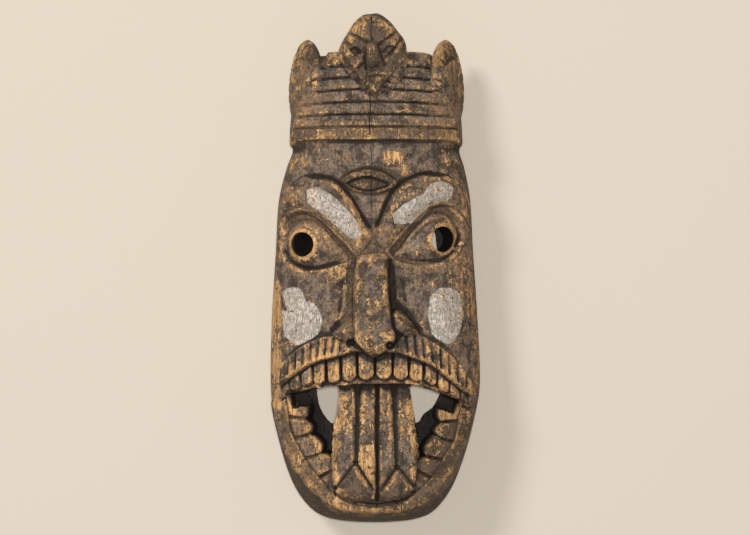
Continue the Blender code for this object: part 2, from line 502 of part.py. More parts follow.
# Each bore: its middle, its width and height as shares of the eye hole, and how far it leans inward
EYE_BORES = (((-34.8, 55.0), 1.0, 1.08, 0.5), ((32.4, 55.9), 0.86, 1.13, -0.235))


def mesh_from(guide, collection):
    bpy.context.view_layer.update()
    evaluated = guide.evaluated_get(bpy.context.evaluated_depsgraph_get())
    mesh = bpy.data.meshes.new_from_object(evaluated)
    bm = bmesh.new()
    bm.from_mesh(mesh)
    bm.transform(guide.matrix_world)
    bmesh.ops.remove_doubles(bm, verts=bm.verts, dist=0.000002)
    name = guide.name
    bpy.data.objects.remove(guide)
    bpy.data.meshes.remove(mesh)
    return new_object(name, bm, collection)


# A hole straight through along the view
def through_hole(collection, name, outline):
    flat = bpy.data.curves.new(name, "CURVE")
    flat.dimensions = "2D"
    flat.fill_mode = "BOTH"
    flat.extrude = FACE_DEEP
    line = flat.splines.new("POLY")
    line.points.add(len(outline) - 1)
    for point, (x, y) in zip(line.points, outline):
        point.co = (x, y, 0, 1)
    line.use_cyclic_u = True
    guide = bpy.data.objects.new(name, flat)
    collection.objects.link(guide)
    guide.location.z = FACE_DEEP / 2
    return mesh_from(guide, collection)


# A bore from the front of an eye back and inward to the hollow
def eye_bore(collection, name, place, wide, tall, lean):
    bm = bmesh.new()
    bmesh.ops.create_cone(bm, cap_ends=True, segments=20, radius1=0.5, radius2=0.5, depth=1)
    middle = at(*place)
    for vert in bm.verts:
        x, y, z = vert.co * EYE_HOLE
        down = -vert.co.z * 1.3 * FACE_DEEP
        vert.co = middle[0] + x * wide + down * lean, middle[1] + y * tall, 0.78 * FACE_DEEP - down
    return new_object(name, bm, collection)


def hollow(collection):
    bm = bmesh.new()
    bmesh.ops.create_uvsphere(bm, u_segments=36, v_segments=20, radius=1)
    low, high = ((end - 50) * UP for end in HOLLOW_ENDS)
    for vert in bm.verts:
        x, y, z = vert.co
        square = math.hypot(x, y) / max((abs(x) ** 3 + abs(y) ** 3) ** (1 / 3), 1e-6)
        vert.co = (x * square * HOLLOW_WIDE / 2, (low + high + y * square * (high - low)) / 2,
                   math.copysign(abs(z) ** 0.75, z) * HOLLOW_DEEP)
    return new_object("hollow", bm, collection)


# A shallow dish behind the crown's front, between the side leaves
def crown_dish(collection):
    bm = bmesh.new()
    bmesh.ops.create_uvsphere(bm, u_segments=32, v_segments=12, radius=1)
    for vert in bm.verts:
        x, y, z = vert.co
        vert.co = x * 24 * ACROSS, at(0, SHOULDER)[1] + z * CROWN_DISH, (0.28 + 0.30 * y) * FACE_DEEP
    return new_object("crown dish", bm, collection)


def combine(target, tool, operation):
    step = target.modifiers.new(tool.name, "BOOLEAN")
    step.operation = operation
    step.object = tool
    step.solver = "MANIFOLD"
    tool.hide_render = True
    tool.display_type = "WIRE"


def carved_block(cutters, step, rings, spokes):
    head = carve_head(cutters, step)
    middle_leaf = leaf(cutters, "middle leaf", curve(*MIDDLE_LEAF), small_face, LEAF_THICK, rings, spokes)
    middle_leaf.location.z = 0.80 * FACE_DEEP
    combine(head, middle_leaf, "UNION")
    for side, name, place in ((-1, "left leaf", -32.4), (1, "right leaf", 33.8)):
        side_leaf = leaf(cutters, name, oval_leaf(), side_notches, SIDE_LEAF_THICK, rings, spokes)
        side_leaf.rotation_euler.y = side * SIDE_LEAF_TURN
        side_leaf.location = (place * ACROSS, 0, 0.44 * FACE_DEEP)
        combine(head, side_leaf, "UNION")
    combine(head, crown_dish(cutters), "DIFFERENCE")
    combine(head, hollow(cutters), "DIFFERENCE")
    for name, outline in zip(("left mouth hole", "right mouth hole"), MOUTH_HOLES):
        combine(head, through_hole(cutters, name, curve(*outline, outline[0], steps=2)[:-1]), "DIFFERENCE")
    for name, (place, wide, tall, lean) in zip(("left eye hole", "right eye hole"), EYE_BORES):
        combine(head, eye_bore(cutters, name, place, wide, tall, lean), "DIFFERENCE")
    return head


def worn_wood():
    material = bpy.data.materials.new("worn painted wood")
    material.use_nodes = True
    shader = material.node_tree.nodes["Principled BSDF"]
    shader.inputs["Base Color"].default_value = (0.135, 0.095, 0.065, 1)
    shader.inputs["Roughness"].default_value = 0.75
    shader.inputs["Metallic"].default_value = 0
    return material


def main():
    for old in list(bpy.data.objects):
        bpy.data.objects.remove(old)
    parts = bpy.data.collections.new("carved wooden mask")
    cutters = bpy.data.collections.new("cutters")
    for collection in (parts, cutters):
        bpy.context.scene.collection.children.link(collection)
    head = carved_block(cutters, POINT_STEP, 24, 48)
    mask = mesh_from(head, parts)
    mask.name = mask.data.name = "carved_mask"
    bm = bmesh.new()
    bm.from_mesh(mask.data)
    bmesh.ops.triangulate(bm, faces=bm.faces)
    bm.to_mesh(mask.data)
    bm.free()
    thin = mask.modifiers.new("fewer faces", "DECIMATE")
    thin.ratio = min(1, TRIANGLES / len(mask.data.polygons))
    mask.data.materials.append(worn_wood())


main()
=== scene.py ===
import json
import math
import bmesh
import bpy
import numpy as np
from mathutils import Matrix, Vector

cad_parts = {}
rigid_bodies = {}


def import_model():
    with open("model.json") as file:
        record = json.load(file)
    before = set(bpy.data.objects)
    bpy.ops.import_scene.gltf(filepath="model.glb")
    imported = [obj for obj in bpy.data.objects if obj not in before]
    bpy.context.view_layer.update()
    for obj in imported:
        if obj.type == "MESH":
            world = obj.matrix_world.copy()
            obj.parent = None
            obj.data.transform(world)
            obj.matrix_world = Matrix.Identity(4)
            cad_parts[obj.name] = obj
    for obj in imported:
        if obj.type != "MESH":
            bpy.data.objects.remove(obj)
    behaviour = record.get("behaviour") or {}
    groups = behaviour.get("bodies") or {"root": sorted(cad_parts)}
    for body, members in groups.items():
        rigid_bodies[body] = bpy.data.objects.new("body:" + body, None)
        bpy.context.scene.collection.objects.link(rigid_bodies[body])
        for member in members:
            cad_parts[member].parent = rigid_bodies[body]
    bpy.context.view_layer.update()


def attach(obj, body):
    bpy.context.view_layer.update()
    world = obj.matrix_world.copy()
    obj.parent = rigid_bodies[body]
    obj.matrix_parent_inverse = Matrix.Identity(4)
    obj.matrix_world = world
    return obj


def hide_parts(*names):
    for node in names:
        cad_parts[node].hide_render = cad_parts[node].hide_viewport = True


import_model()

# A carved wooden mask lying on its hollow back. The carving is cut again here at a finer step than the
# solid, and gets its worn paint, which carries the splits and the grain.

# Sizes of the carving in metres
dims = {
    "maskTall": 0.613,  # chin to the tip of the crown's middle leaf
    "maskWide": 0.252,  # across the cheeks
    "faceDeep": 0.112,  # back rim to the middle of the lips
    "noseRise": 0.030,  # tip of the nose above its surroundings
    "browRise": 0.006,  # brow ridges above the forehead
    "socketDepth": 0.009,  # eye sockets below the brows
    "eyeRise": 0.010,  # eyeballs above the floor of their sockets
    "eyeHole": 0.027,  # bore through each eye
    "lipRise": 0.0045,  # upper lip, and crest of the lower lip
    "toothStep": 0.005,  # upper teeth set back under the lip
    "mouthDepth": 0.046,  # floor of the mouth below the lips
    "tongueSunk": 0.026,  # root of the tongue below the lips
    "crownStep": 0.0045,  # lower edge of the crown out over the forehead
    "bandCut": 0.0032,  # cuts between the crown's bands
    "leafThick": 0.030,  # middle leaf of the crown, front to back
    "sideLeafThick": 0.026,  # side leaves of the crown
    "leafSpread": 0.076,  # side leaves, front to back
    "chiselCut": 0.0035,  # single chisel cuts
    "crownDish": 0.016,  # hollow in the top of the crown
    "hollowWide": 0.158,  # hollow of the back, side to side
    "hollowDeep": 0.062,  # hollow of the back, front to back
}
mesh = {
    "pointStep": 0.00165,  # spacing of the carved surface's points
    "leafRings": 56,
    "leafSpokes": 128,
    "cutterRings": 26,  # rings along the walls of the bores
}

# Places on the carving are hundredths of the mask: across from the middle line by its width, and up from
# the chin by its height. Small widths are counted in hairs, near enough a millimetre each.
perWide = dims["maskWide"] / 100
perTall = dims["maskTall"] / 100
hair = dims["maskTall"] / 600


def at(across, up):
    return across * perWide, (up - 50) * perTall


def smooth(t):
    t = np.clip(t, 0, 1)
    return t * t * (3 - 2 * t)


# A smooth curve through places on the mask, as an array of points in metres
def curve(*places, steps=6):
    p = np.array([at(*place) for place in places])
    q = np.vstack([2 * p[0] - p[1], p, 2 * p[-1] - p[-2]])
    t = (np.arange(steps) / steps)[:, None]
    runs = []
    for a, b, c, d in zip(q, q[1:], q[2:], q[3:]):
        runs.append(b + t / 2 * (c - a + t * (2 * a - 5 * b + 4 * c - d + t * (3 * b - a - 3 * c + d))))
    return np.vstack(runs + [p[-1:]])


# A smooth value that changes with the height on the mask, through pairs of height and value
def profile(pairs, up):
    key, value = np.array(pairs, float).T
    slope = np.gradient(value, key)
    i = np.clip(np.searchsorted(key, up, side="right") - 1, 0, len(key) - 2)
    gap = key[i + 1] - key[i]
    t = np.clip((up - key[i]) / gap, 0, 1)
    ease = smooth(t)
    bend = t * (1 - t) * gap * ((1 - t) * slope[i] - t * slope[i + 1])
    return value[i] * (1 - ease) + value[i + 1] * ease + bend


# Height of a curve that runs from left to right, at each x
def level(line, x):
    return np.interp(x, line[:, 0], line[:, 1])


# Distance from each point to a curve and the share along it, worked out only within reach of the curve
def follow(line, x, y, reach):
    gap = np.full(x.shape, 1.0)
    share = np.zeros(x.shape)
    low, high = line.min(axis=0) - reach, line.max(axis=0) + reach
    near = (x > low[0]) & (x < high[0]) & (y > low[1]) & (y < high[1])
    px, py = x[near], y[near]
    run = np.diff(line, axis=0)
    length = np.maximum(np.hypot(run[:, 0], run[:, 1]), 1e-9)
    start = np.concatenate([[0], np.cumsum(length)])
    best = np.full(px.shape, 1.0)
    along = np.zeros(px.shape)
    for (ax, ay), (dx, dy), size, begun in zip(line, run, length, start):
        t = np.clip(((px - ax) * dx + (py - ay) * dy) / size ** 2, 0, 1)
        square = (px - ax - t * dx) ** 2 + (py - ay - t * dy) ** 2
        closer = square < best
        best[closer] = square[closer]
        along[closer] = (begun + t * size)[closer]
    gap[near] = np.sqrt(best)
    share[near] = along / start[-1]
    return gap, share


# Distance inside a closed outline, negative outside it
def inside(outline, x, y, reach):
    loop = np.vstack([outline, outline[:1]])
    gap, _ = follow(loop, x, y, reach)
    within = np.zeros(x.shape, bool)
    for (ax, ay), (bx, by) in zip(loop, loop[1:]):
        if ay != by:
            within ^= ((ay > y) != (by > y)) & (x < (bx - ax) * (y - ay) / (by - ay) + ax)
    return np.where(within, gap, -gap)


# A rounded swelling inside an outline
def swell(outline, x, y, reach, rise, power=0.5):
    return rise * np.clip(inside(outline, x, y, reach) / reach, 0, 1) ** power


# A chisel cut along a curve, thinning out at its ends
def cut(line, x, y, width, depth, fade=0.12):
    gap, share = follow(line, x, y, width)
    ends = smooth(np.minimum(share, 1 - share) / fade + 0.25)
    return -depth * ends * np.clip(1 - gap / width, 0, 1)


# Brow ridges, eyes in their sockets, and the third eye
def browsAndEyes(x, y):
    brows = (curve((-35.7, 67.8), (-31.9, 68.4), (-24.8, 68.2), (-17.6, 67.2), (-12.9, 65.0),
                   (-5.7, 60.2), (-1.0, 57.0), (-4.3, 54.3), (-8.6, 53.5), (-15.7, 56.4), (-23.3, 59.5),
                   (-29.0, 61.3), (-34.8, 62.1), (-41.0, 61.7), (-44.8, 60.3), (-45.2, 63.5),
                   (-41.9, 66.2)),
             curve((36.7, 67.8), (32.9, 68.6), (23.3, 68.8), (17.1, 68.0), (11.4, 66.6), (6.7, 64.0),
                   (0.5, 57.2), (2.4, 54.7), (6.2, 54.5), (10.0, 56.4), (15.7, 59.0), (21.9, 61.7),
                   (28.3, 63.3), (35.2, 63.3), (40.5, 61.7), (43.3, 60.1), (43.8, 62.5), (41.4, 65.4)))
    sockets = (curve((-45.2, 59.5), (-41.0, 61.3), (-34.5, 61.7), (-29.0, 60.9), (-23.3, 59.2),
                     (-15.7, 56.0), (-9.0, 52.9), (-11.9, 51.7), (-19.5, 50.5), (-27.1, 49.8),
                     (-34.8, 49.8), (-41.0, 51.1), (-44.8, 53.3), (-46.2, 56.4)),
               curve((43.3, 58.4), (40.5, 60.9), (35.2, 62.9), (28.3, 62.9), (21.9, 61.3), (15.7, 58.6),
                     (10.0, 56.0), (6.2, 53.7), (10.0, 51.7), (17.6, 50.9), (26.2, 50.9), (34.3, 51.7),
                     (40.0, 53.7), (43.3, 55.8)))
    eyes = (curve((-44.8, 56.4), (-40.5, 58.8), (-34.8, 59.7), (-29.0, 59.2), (-23.3, 57.6),
                  (-17.6, 55.0), (-11.9, 52.3), (-17.6, 51.3), (-26.2, 50.4), (-33.8, 50.4),
                  (-41.0, 51.7), (-44.3, 53.9)),
            curve((41.9, 56.8), (39.5, 59.2), (34.8, 60.9), (29.0, 61.1), (23.3, 59.7), (17.6, 57.6),
                  (12.9, 55.0), (9.0, 52.9), (15.7, 51.5), (24.3, 51.3), (32.9, 51.9), (39.0, 53.9)))
    upperCuts = (curve((-32.9, 68.2), (-24.8, 68.2), (-17.6, 67.2), (-12.9, 65.0), (-9.5, 62.9),
                       (-5.7, 60.2), (-1.0, 57.2)),
                  curve((33.8, 68.4), (23.3, 68.8), (17.1, 68.0), (11.4, 66.6), (6.7, 64.0), (3.3, 60.8),
                        (0.0, 57.6)))
    rise = np.zeros(x.shape)
    for brow, socket, eye, upperCut in zip(brows, sockets, eyes, upperCuts):
        rise += swell(brow, x, y, 13 * hair, dims["browRise"])
        rise -= dims["socketDepth"] * smooth(inside(socket, x, y, 20 * hair) / (6 * hair))
        rise += swell(eye, x, y, 20 * hair, dims["eyeRise"])
        rise += cut(eye, x, y, 2.2 * hair, dims["chiselCut"] * 0.6, 0.001)
        rise += cut(upperCut, x, y, 5 * hair, dims["chiselCut"] * 1.4)
    rim = inside(curve((-17.6, 67.4), (-13.3, 68.7), (-8.1, 69.5), (-2.4, 69.8), (3.3, 69.3), (8.1, 68.2),
                       (11.4, 66.8), (7.1, 65.4), (2.4, 64.8), (-3.3, 64.6), (-9.5, 65.2),
                       (-13.8, 66.0)), x, y, 10 * hair)
    lens = curve((-12.9, 66.8), (-8.6, 67.7), (-2.9, 68.0), (2.4, 67.4), (6.2, 66.6), (1.4, 65.8),
                 (-3.8, 65.4), (-9.0, 65.9))
    rise += dims["chiselCut"] * smooth(rim / (3 * hair))
    rise -= dims["chiselCut"] * 1.4 * smooth(inside(lens, x, y, 10 * hair) / (2 * hair) + 1)
    return rise + swell(lens, x, y, 8 * hair, dims["chiselCut"] * 1.3)


# Cheeks swell a little, and sink beside the nose
def cheeks(x, y):
    left = curve((-43.3, 45.5), (-35.7, 46.6), (-28.1, 44.7), (-24.3, 39.6), (-29.0, 36.5), (-37.6, 34.9),
                 (-43.3, 34.1), (-45.2, 40.0))
    right = curve((26.2, 45.9), (33.3, 46.6), (40.5, 43.9), (43.3, 38.0), (39.5, 34.1), (31.0, 36.1),
                  (25.2, 38.4), (23.3, 42.9))
    rise = sum(swell(cheek, x, y, 22 * hair, 0.6 * dims["browRise"], 0.7) for cheek in (left, right))
    for beside in (curve((-23.3, 48.6), (-11.9, 50.9), (-9.0, 45.9), (-11.9, 40.8), (-19.5, 38.0),
                         (-23.3, 42.3)),
                   curve((19.5, 49.4), (8.1, 51.3), (5.2, 45.9), (9.0, 42.7), (17.6, 40.4),
                         (21.4, 43.9))):
        rise += swell(beside, x, y, 16 * hair, -0.8 * dims["browRise"], 1)
    return rise


# The nose stands out along the view, with grooves beside it and two nostrils
def nose(x, y):
    bridge = curve((-9.5, 52.9), (-1.4, 53.5), (6.2, 53.1), (7.1, 49.4), (7.6, 43.9), (9.0, 39.6),
                   (10.5, 36.8), (6.7, 34.5), (-1.0, 32.8), (-7.1, 34.7), (-10.5, 36.8), (-11.0, 41.9),
                   (-11.0, 47.8))
    climb = profile([(32.0, 0.10), (32.7, 0.30), (34.1, 0.86), (35.5, 1.0), (39.0, 0.86), (43.9, 0.66),
                     (48.8, 0.47), (53.3, 0.34), (55.6, 0.30)], y / perTall + 50)
    edge = inside(bridge, x, y, 30 * hair)
    wall = smooth(edge / (3.5 * hair))
    rise = dims["noseRise"] * climb * (0.72 * wall + 0.28 * np.clip(edge / (18 * hair), 0, 1) ** 0.6)
    for wing in (curve((-10.0, 42.1), (-14.8, 40.4), (-20.5, 38.0), (-17.6, 36.5), (-11.9, 36.1),
                       (-6.2, 36.5), (-6.2, 40.0)),
                 curve((6.2, 42.1), (11.4, 42.5), (17.1, 40.4), (21.0, 37.8), (15.7, 37.2), (10.0, 37.2),
                       (5.2, 36.1))):
        rise = np.maximum(rise, swell(wing, x, y, 12 * hair, dims["noseRise"] / 2, 0.6))
    for groove in (curve((-10.5, 52.5), (-11.2, 48.8), (-11.4, 43.9), (-13.3, 41.0), (-20.5, 37.8)),
                   curve((6.7, 52.5), (7.6, 47.8), (8.6, 42.9), (10.5, 43.1), (16.2, 41.2),
                         (21.4, 37.8))):
        rise += cut(groove, x, y, 7 * hair, 1.5 * dims["chiselCut"], 0.05)
    for nostril in (at(-11.4, 35.7), at(7.1, 35.3)):
        away = np.hypot(x - nostril[0], y - nostril[1])
        sink = smooth(1.5 - away / (4.2 * hair))
        rise = rise * (1 - sink) - 2 * dims["chiselCut"] * sink
    return rise


# Upper lip: a hatched band, over a row of blunt teeth that crowd together towards the corners
lipTop = [(-49.0, 25.9), (-47.1, 28.0), (-43.8, 31.8), (-37.1, 34.5), (-30.5, 36.1), (-21.4, 37.4),
          (-13.8, 36.7), (-8.6, 34.7), (-1.0, 33.7), (7.6, 35.1), (12.9, 37.4), (19.0, 37.9),
          (29.0, 35.7), (36.2, 33.3), (42.9, 30.0), (46.2, 26.7), (48.6, 24.3)]
lipLow = [(-50.0, 25.1), (-47.1, 26.7), (-42.9, 28.2), (-37.1, 29.9), (-30.5, 31.6), (-23.3, 32.6),
          (-16.2, 33.3), (-9.5, 34.1), (-1.0, 33.5), (9.5, 33.9), (18.6, 32.7), (25.7, 31.6),
          (32.4, 29.6), (39.5, 27.3), (45.2, 25.5), (50.0, 23.5)]
teethEnd = [(-50.0, 23.5), (-44.3, 25.1), (-39.8, 26.5), (-33.3, 27.3), (-27.1, 27.7), (-12.9, 28.4),
            (0.0, 28.8), (12.9, 28.7), (21.0, 28.2), (28.1, 27.5), (34.8, 25.9), (41.4, 23.9),
            (49.0, 22.0)]
toothPitch = 8.7
toothCrowding = 0.285
cornerAt = 45
hatchRows = ((-15.2, -46.2, 9), (13.8, 44.8, 8))  # from, to, and the number of cuts


def upperLipAndTeeth(x, y):
    top, low, end = (curve(*line) for line in (lipTop, lipLow, teethEnd))
    offset = np.abs(x) / perWide
    corner = smooth(cornerAt + 1 - offset)
    aboveLow = y - level(low, x)
    band = smooth(aboveLow / (1.6 * hair) + 0.5) * smooth((level(top, x) - y) / (2.5 * hair)) * corner
    rise = dims["lipRise"] * band
    for inner, outer, count in hatchRows:
        for share in (np.arange(count) + 0.5) / count:
            foot = (inner + (outer - inner) * share) * perWide
            head = foot - math.copysign(3.5 * hair * (1 - share), inner)
            line = np.array([(head, level(top, head) - 2 * hair), (foot, level(low, foot) + 3 * hair)])
            rise += cut(line, x, y, 2.6 * hair, dims["chiselCut"], 0.2) * band
    root = np.sqrt(np.maximum(toothPitch ** 2 - 4 * toothCrowding * offset, 0))
    across = 2 * np.abs((toothPitch - root) / (2 * toothCrowding) % 1 - 0.5)
    tip = level(end, x) + 7.5 * hair * across ** 2.4
    tooth = smooth((y - tip) / (1.2 * hair) + 0.5) * smooth((0.93 - across) / 0.10)
    row = smooth(0.6 - aboveLow / (2 * hair)) * (y > level(end, x) - 4 * hair) * corner
    face = -dims["toothStep"] + 0.4 * dims["toothStep"] * (1 - across ** 2)
    between = -2.5 * dims["toothStep"]
    return rise + row * np.where(tooth > 0, face * tooth + between * (1 - tooth), between)


# Mouth: wedge teeth slope in from the lower lip to a deep floor, and the tongue lies over it
lipInnerLeft = [(-43.3, 25.8), (-42.1, 23.2), (-40.2, 18.5), (-36.7, 15.6), (-32.4, 12.4), (-26.2, 9.3),
                (-19.5, 6.3), (-11.9, 4.4), (1.0, 3.6)]
lipInnerRight = [(43.8, 24.3), (41.0, 22.6), (38.1, 16.7), (33.8, 14.0), (29.0, 10.4), (20.5, 6.7),
                 (11.9, 4.4), (1.0, 3.6)]
mouthTop = [(-43.3, 25.8), (-38.6, 26.3), (-33.3, 26.7), (-27.1, 27.1), (-12.9, 27.7), (0.0, 28.0),
            (12.9, 27.9), (21.0, 27.5), (29.0, 26.5), (36.7, 25.3), (43.8, 24.3)]
lipCrest = [(-48.1, 23.5), (-45.2, 19.4), (-41.0, 14.9), (-35.2, 10.4), (-26.7, 6.4), (-15.7, 3.7),
            (1.0, 2.9), (15.2, 3.7), (25.7, 5.9), (34.8, 10.4), (41.4, 15.7), (45.2, 22.2)]
lowerTeeth = 7
tongueOutline = [(-17.6, 28.6), (-19.0, 22.4), (-20.5, 16.7), (-20.5, 11.6), (-20.0, 7.9), (-17.1, 5.9),
                 (-11.9, 5.0), (1.0, 4.6), (12.9, 5.3), (17.6, 6.5), (19.5, 8.7), (20.5, 12.6),
                 (21.0, 15.3), (19.3, 19.6), (16.7, 28.2)]


def mouth(x, y):
    lips = curve(*lipInnerLeft), curve(*lipInnerRight)
    roof = curve(*mouthTop)
    opening = np.vstack([lips[0], lips[1][-2::-1], roof[-2:0:-1]])
    deep = inside(opening, x, y, 75 * hair)
    floor = np.full(x.shape, -dims["mouthDepth"])
    nearest = np.full(x.shape, 1.0)
    for lip in lips:
        gap, share = follow(lip, x, y, 75 * hair)
        across = 2 * np.abs((share * lowerTeeth - gap / (100 * hair)) % 1 - 0.5)
        reach = 24.5 * hair * (1 - 0.22 * across ** 2)
        slope = -dims["toothStep"] - 0.40 * gap - dims["mouthDepth"] * smooth((gap - reach) / (10 * hair))
        notch = 1.6 * dims["chiselCut"] * np.clip(across / 0.20 - 4, 0, 1) * smooth(gap / (3 * hair))
        floor = np.where(gap < nearest, slope - notch, floor)
        nearest = np.minimum(gap, nearest)
    underRoof = level(roof, x) - y
    drop = -3 * dims["toothStep"] - 0.8 * dims["mouthDepth"] * smooth(underRoof / (4 * hair) - 0.25)
    drop = drop * smooth((nearest - 4 * hair) / (8 * hair))
    floor = np.where(underRoof < 20 * hair, np.minimum(floor, drop), floor)
    return np.maximum(floor, -1.2 * dims["mouthDepth"]) * smooth(deep / (1.5 * hair)), deep > 0


def tongue(x, y):
    edge = inside(curve(*tongueOutline), x, y, 30 * hair)
    top = profile([(3.8, -0.04), (6.3, -0.04), (10.6, -0.15), (16.5, -0.38), (22.4, -0.70), (28.2, -1)],
                  y / perTall + 50)
    rise = dims["tongueSunk"] * top - 4 * hair * (1 - np.clip(edge / (8 * hair), 0, 1)) ** 2
    middle = curve((1.2, 28.2), (1.0, 18.5), (1.2, 10.6), (1.2, 4.8))
    rise += cut(middle, x, y, 3.4 * hair, 2.4 * dims["chiselCut"], 0.02)
    for groove in (curve((-8.1, 28.2), (-8.3, 22.4), (-8.6, 16.5), (-8.8, 12.4)),
                   curve((9.0, 28.2), (9.5, 22.4), (10.0, 16.5), (10.2, 11.6))):
        rise += cut(groove, x, y, 5.6 * hair, 1.5 * dims["chiselCut"], 0.02)
    for flap in (curve((-9.0, 12.6), (-0.5, 7.1)), curve((-9.0, 12.6), (-19.0, 7.3)),
                 curve((10.5, 11.8), (2.4, 6.9)), curve((10.5, 11.8), (19.0, 7.7))):
        rise += cut(flap, x, y, 4.2 * hair, 1.2 * dims["chiselCut"], 0.04)
    return rise, edge > 0


# Crown: bands between shallow bowed cuts, on a front panel that stands proud of the sides
panelLeft = [(73.6, -42.4), (76.2, -40.5), (80.1, -37.6), (83.0, -35.2), (84.6, -31.9), (86.9, -30.5),
             (89.7, -29.0), (91.8, -23.3)]
panelRight = [(73.6, 43.3), (76.2, 41.9), (78.7, 39.5), (81.1, 37.1), (83.4, 34.8), (86.0, 33.8),
              (88.9, 32.9), (91.4, 28.1)]
crownLow = [(-42.4, 72.9), (-39.5, 74.4), (-35.7, 75.1), (-26.2, 75.5), (-7.1, 75.4), (11.9, 75.5),
            (31.0, 75.4), (38.6, 75.0), (43.3, 73.2)]
bandCount = 6
topCut = 90.1  # height of the uppermost cut
bandPitch = 2.43
bandBow = 1.1


def crown(x, y):
    up = y / perTall + 50
    on = smooth((y - level(curve(*crownLow), x)) / (1.6 * hair) + 0.5)
    sides = [np.interp(up, *np.array(side).T) * perWide for side in (panelLeft, panelRight)]
    within = np.minimum(x - sides[0], sides[1] - x)
    rise = dims["crownStep"] * on * (1 - 1.2 * (1 - smooth(within / (3.5 * hair))))
    ends = smooth(within / (10 * hair))
    bow = bandBow * (x / (31 * perWide)) ** 2
    for i in range(bandCount):
        above = up - topCut + i * bandPitch + bow * (1 - i / bandCount)
        rise -= dims["bandCut"] * ends * np.clip(1 - np.abs(above) * perTall / (2.2 * hair), 0, 1)
        slat = (above > 0) & (above < bandPitch)
        rise += 0.4 * dims["bandCut"] * ends * on * np.where(slat, (1 - above / bandPitch) ** 2, 0)
    return rise


# All the carving of the front: rise along the view, rise square to the surface, and the mouth's floor
def carving(x, y):
    floor, openMouth = mouth(x, y)
    tongueTop, onTongue = tongue(x, y)
    floor = np.where(openMouth, np.where(onTongue, np.maximum(floor, tongueTop), floor), 0)
    gap, _ = follow(curve(*lipCrest), x, y, 14 * hair)
    skin = browsAndEyes(x, y) + cheeks(x, y) + upperLipAndTeeth(x, y) + crown(x, y)
    skin += 0.8 * dims["lipRise"] * smooth(1 - gap / (11 * hair))
    return nose(x, y) + floor, np.where(openMouth, 0, skin)


# Outline of the head from the front, each edge from the chin up to the shoulder of the crown
leftEdge = [(-1.4, 0.0), (-22.9, 1.2), (-33.8, 4.4), (-41.9, 10.6), (-48.1, 20.4), (-50.0, 27.8),
            (-49.5, 40.0), (-47.6, 53.7), (-46.2, 63.5), (-42.4, 70.1), (-39.5, 73.4), (-41.0, 75.6),
            (-40.0, 81.1), (-37.1, 86.0), (-31.4, 90.5), (-25.7, 92.4)]
rightEdge = [(-0.5, 0.0), (21.9, 1.2), (32.4, 4.4), (40.5, 10.6), (48.0, 21.6), (50.4, 28.6),
             (49.0, 41.9), (47.1, 53.7), (45.7, 63.9), (42.9, 70.1), (40.5, 73.4), (41.9, 75.6),
             (41.0, 81.1), (37.6, 86.0), (32.4, 89.7), (27.6, 92.2)]
# Height of the middle line above the back rim, as a share of the face's depth, from the chin up
middleRise = [(0, 0.10), (0.5, 0.50), (1.4, 0.72), (3, 0.89), (6, 0.96), (14, 1.0), (27, 1.0), (40, 0.93),
              (55, 0.91), (63, 0.93), (73, 0.84), (76, 0.85), (88, 0.78), (91, 0.75), (92.4, 0.66)]
shoulderAt = 92.2
roundness = 2.6


# Section across one half of the head, from the middle of the front to the back rim
def section(halfWidth, middle, count):
    waist = 0.30 * middle
    turn = np.linspace(0, math.pi / 2, 90)
    side = np.linspace(0, 1, 12)[1:]
    x = np.append(halfWidth * np.sin(turn) ** (2 / roundness), halfWidth * (1 - 0.05 * side ** 1.5))
    z = np.append(waist + (middle - waist) * np.cos(turn) ** (2 / roundness), waist * (1 - side))
    reach = np.concatenate([[0], np.cumsum(np.hypot(np.diff(x), np.diff(z)))])
    share = np.linspace(0, reach[-1], count)
    return np.interp(share, reach, x), np.interp(share, reach, z)


# Width in hairs of the splits that follow the grain
splitWide = 1.5
# Splits from the crown down the middle, one in the tongue, and short ones: places, and how deep as a share
splits = [
    ([(-1.4, 99.9), (-1.8, 97.1), (-1.5, 94.4)], 1.0),
    ([(-4.1, 93.6), (-4.6, 90.9), (-4.0, 88.5), (-4.7, 85.8)], 0.9),
    ([(-2.8, 85.6), (-2.2, 82.3), (-2.7, 79.1), (-2.3, 75.6)], 1.0),
    ([(-2.1, 75.4), (-1.5, 70.3), (-1.8, 64.4), (-1.3, 58.0)], 0.8),
    ([(13.0, 16.1), (13.3, 13.0), (13.0, 9.8)], 0.8),
    ([(13.0, 9.8), (12.5, 6.3), (12.7, 2.4)], 0.8),
    ([(-18.6, 8.3), (-19.0, 6.9), (-18.5, 5.7)], 1.2),
    ([(9.5, 85.8), (9.9, 83.4), (9.5, 80.7)], 0.5),
    ([(21.9, 90.9), (22.5, 86.2), (22.0, 82.3)], 0.4),
    ([(-18.6, 83.0), (-19.0, 79.5), (-18.7, 76.8)], 0.4),
    ([(20.0, 64.1), (21.4, 62.3), (20.5, 60.9)], 0.5),
    ([(4.8, 57.8), (8.1, 58.4), (11.4, 59.2)], 0.5),
    ([(-16.7, 65.6), (-15.2, 64.4), (-16.2, 63.3)], 0.5),
    ([(-30.5, 43.9), (-29.9, 40.4), (-30.3, 37.2)], 0.35),
    ([(30.0, 43.9), (29.5, 40.4), (30.1, 36.5)], 0.35),
]


def splitDepths(x, y):
    depth = np.zeros(x.shape)
    for places, share in splits:
        depth = np.minimum(depth, share * cut(curve(*places), x, y, splitWide * hair, 1.0, 0.15))
    return depth


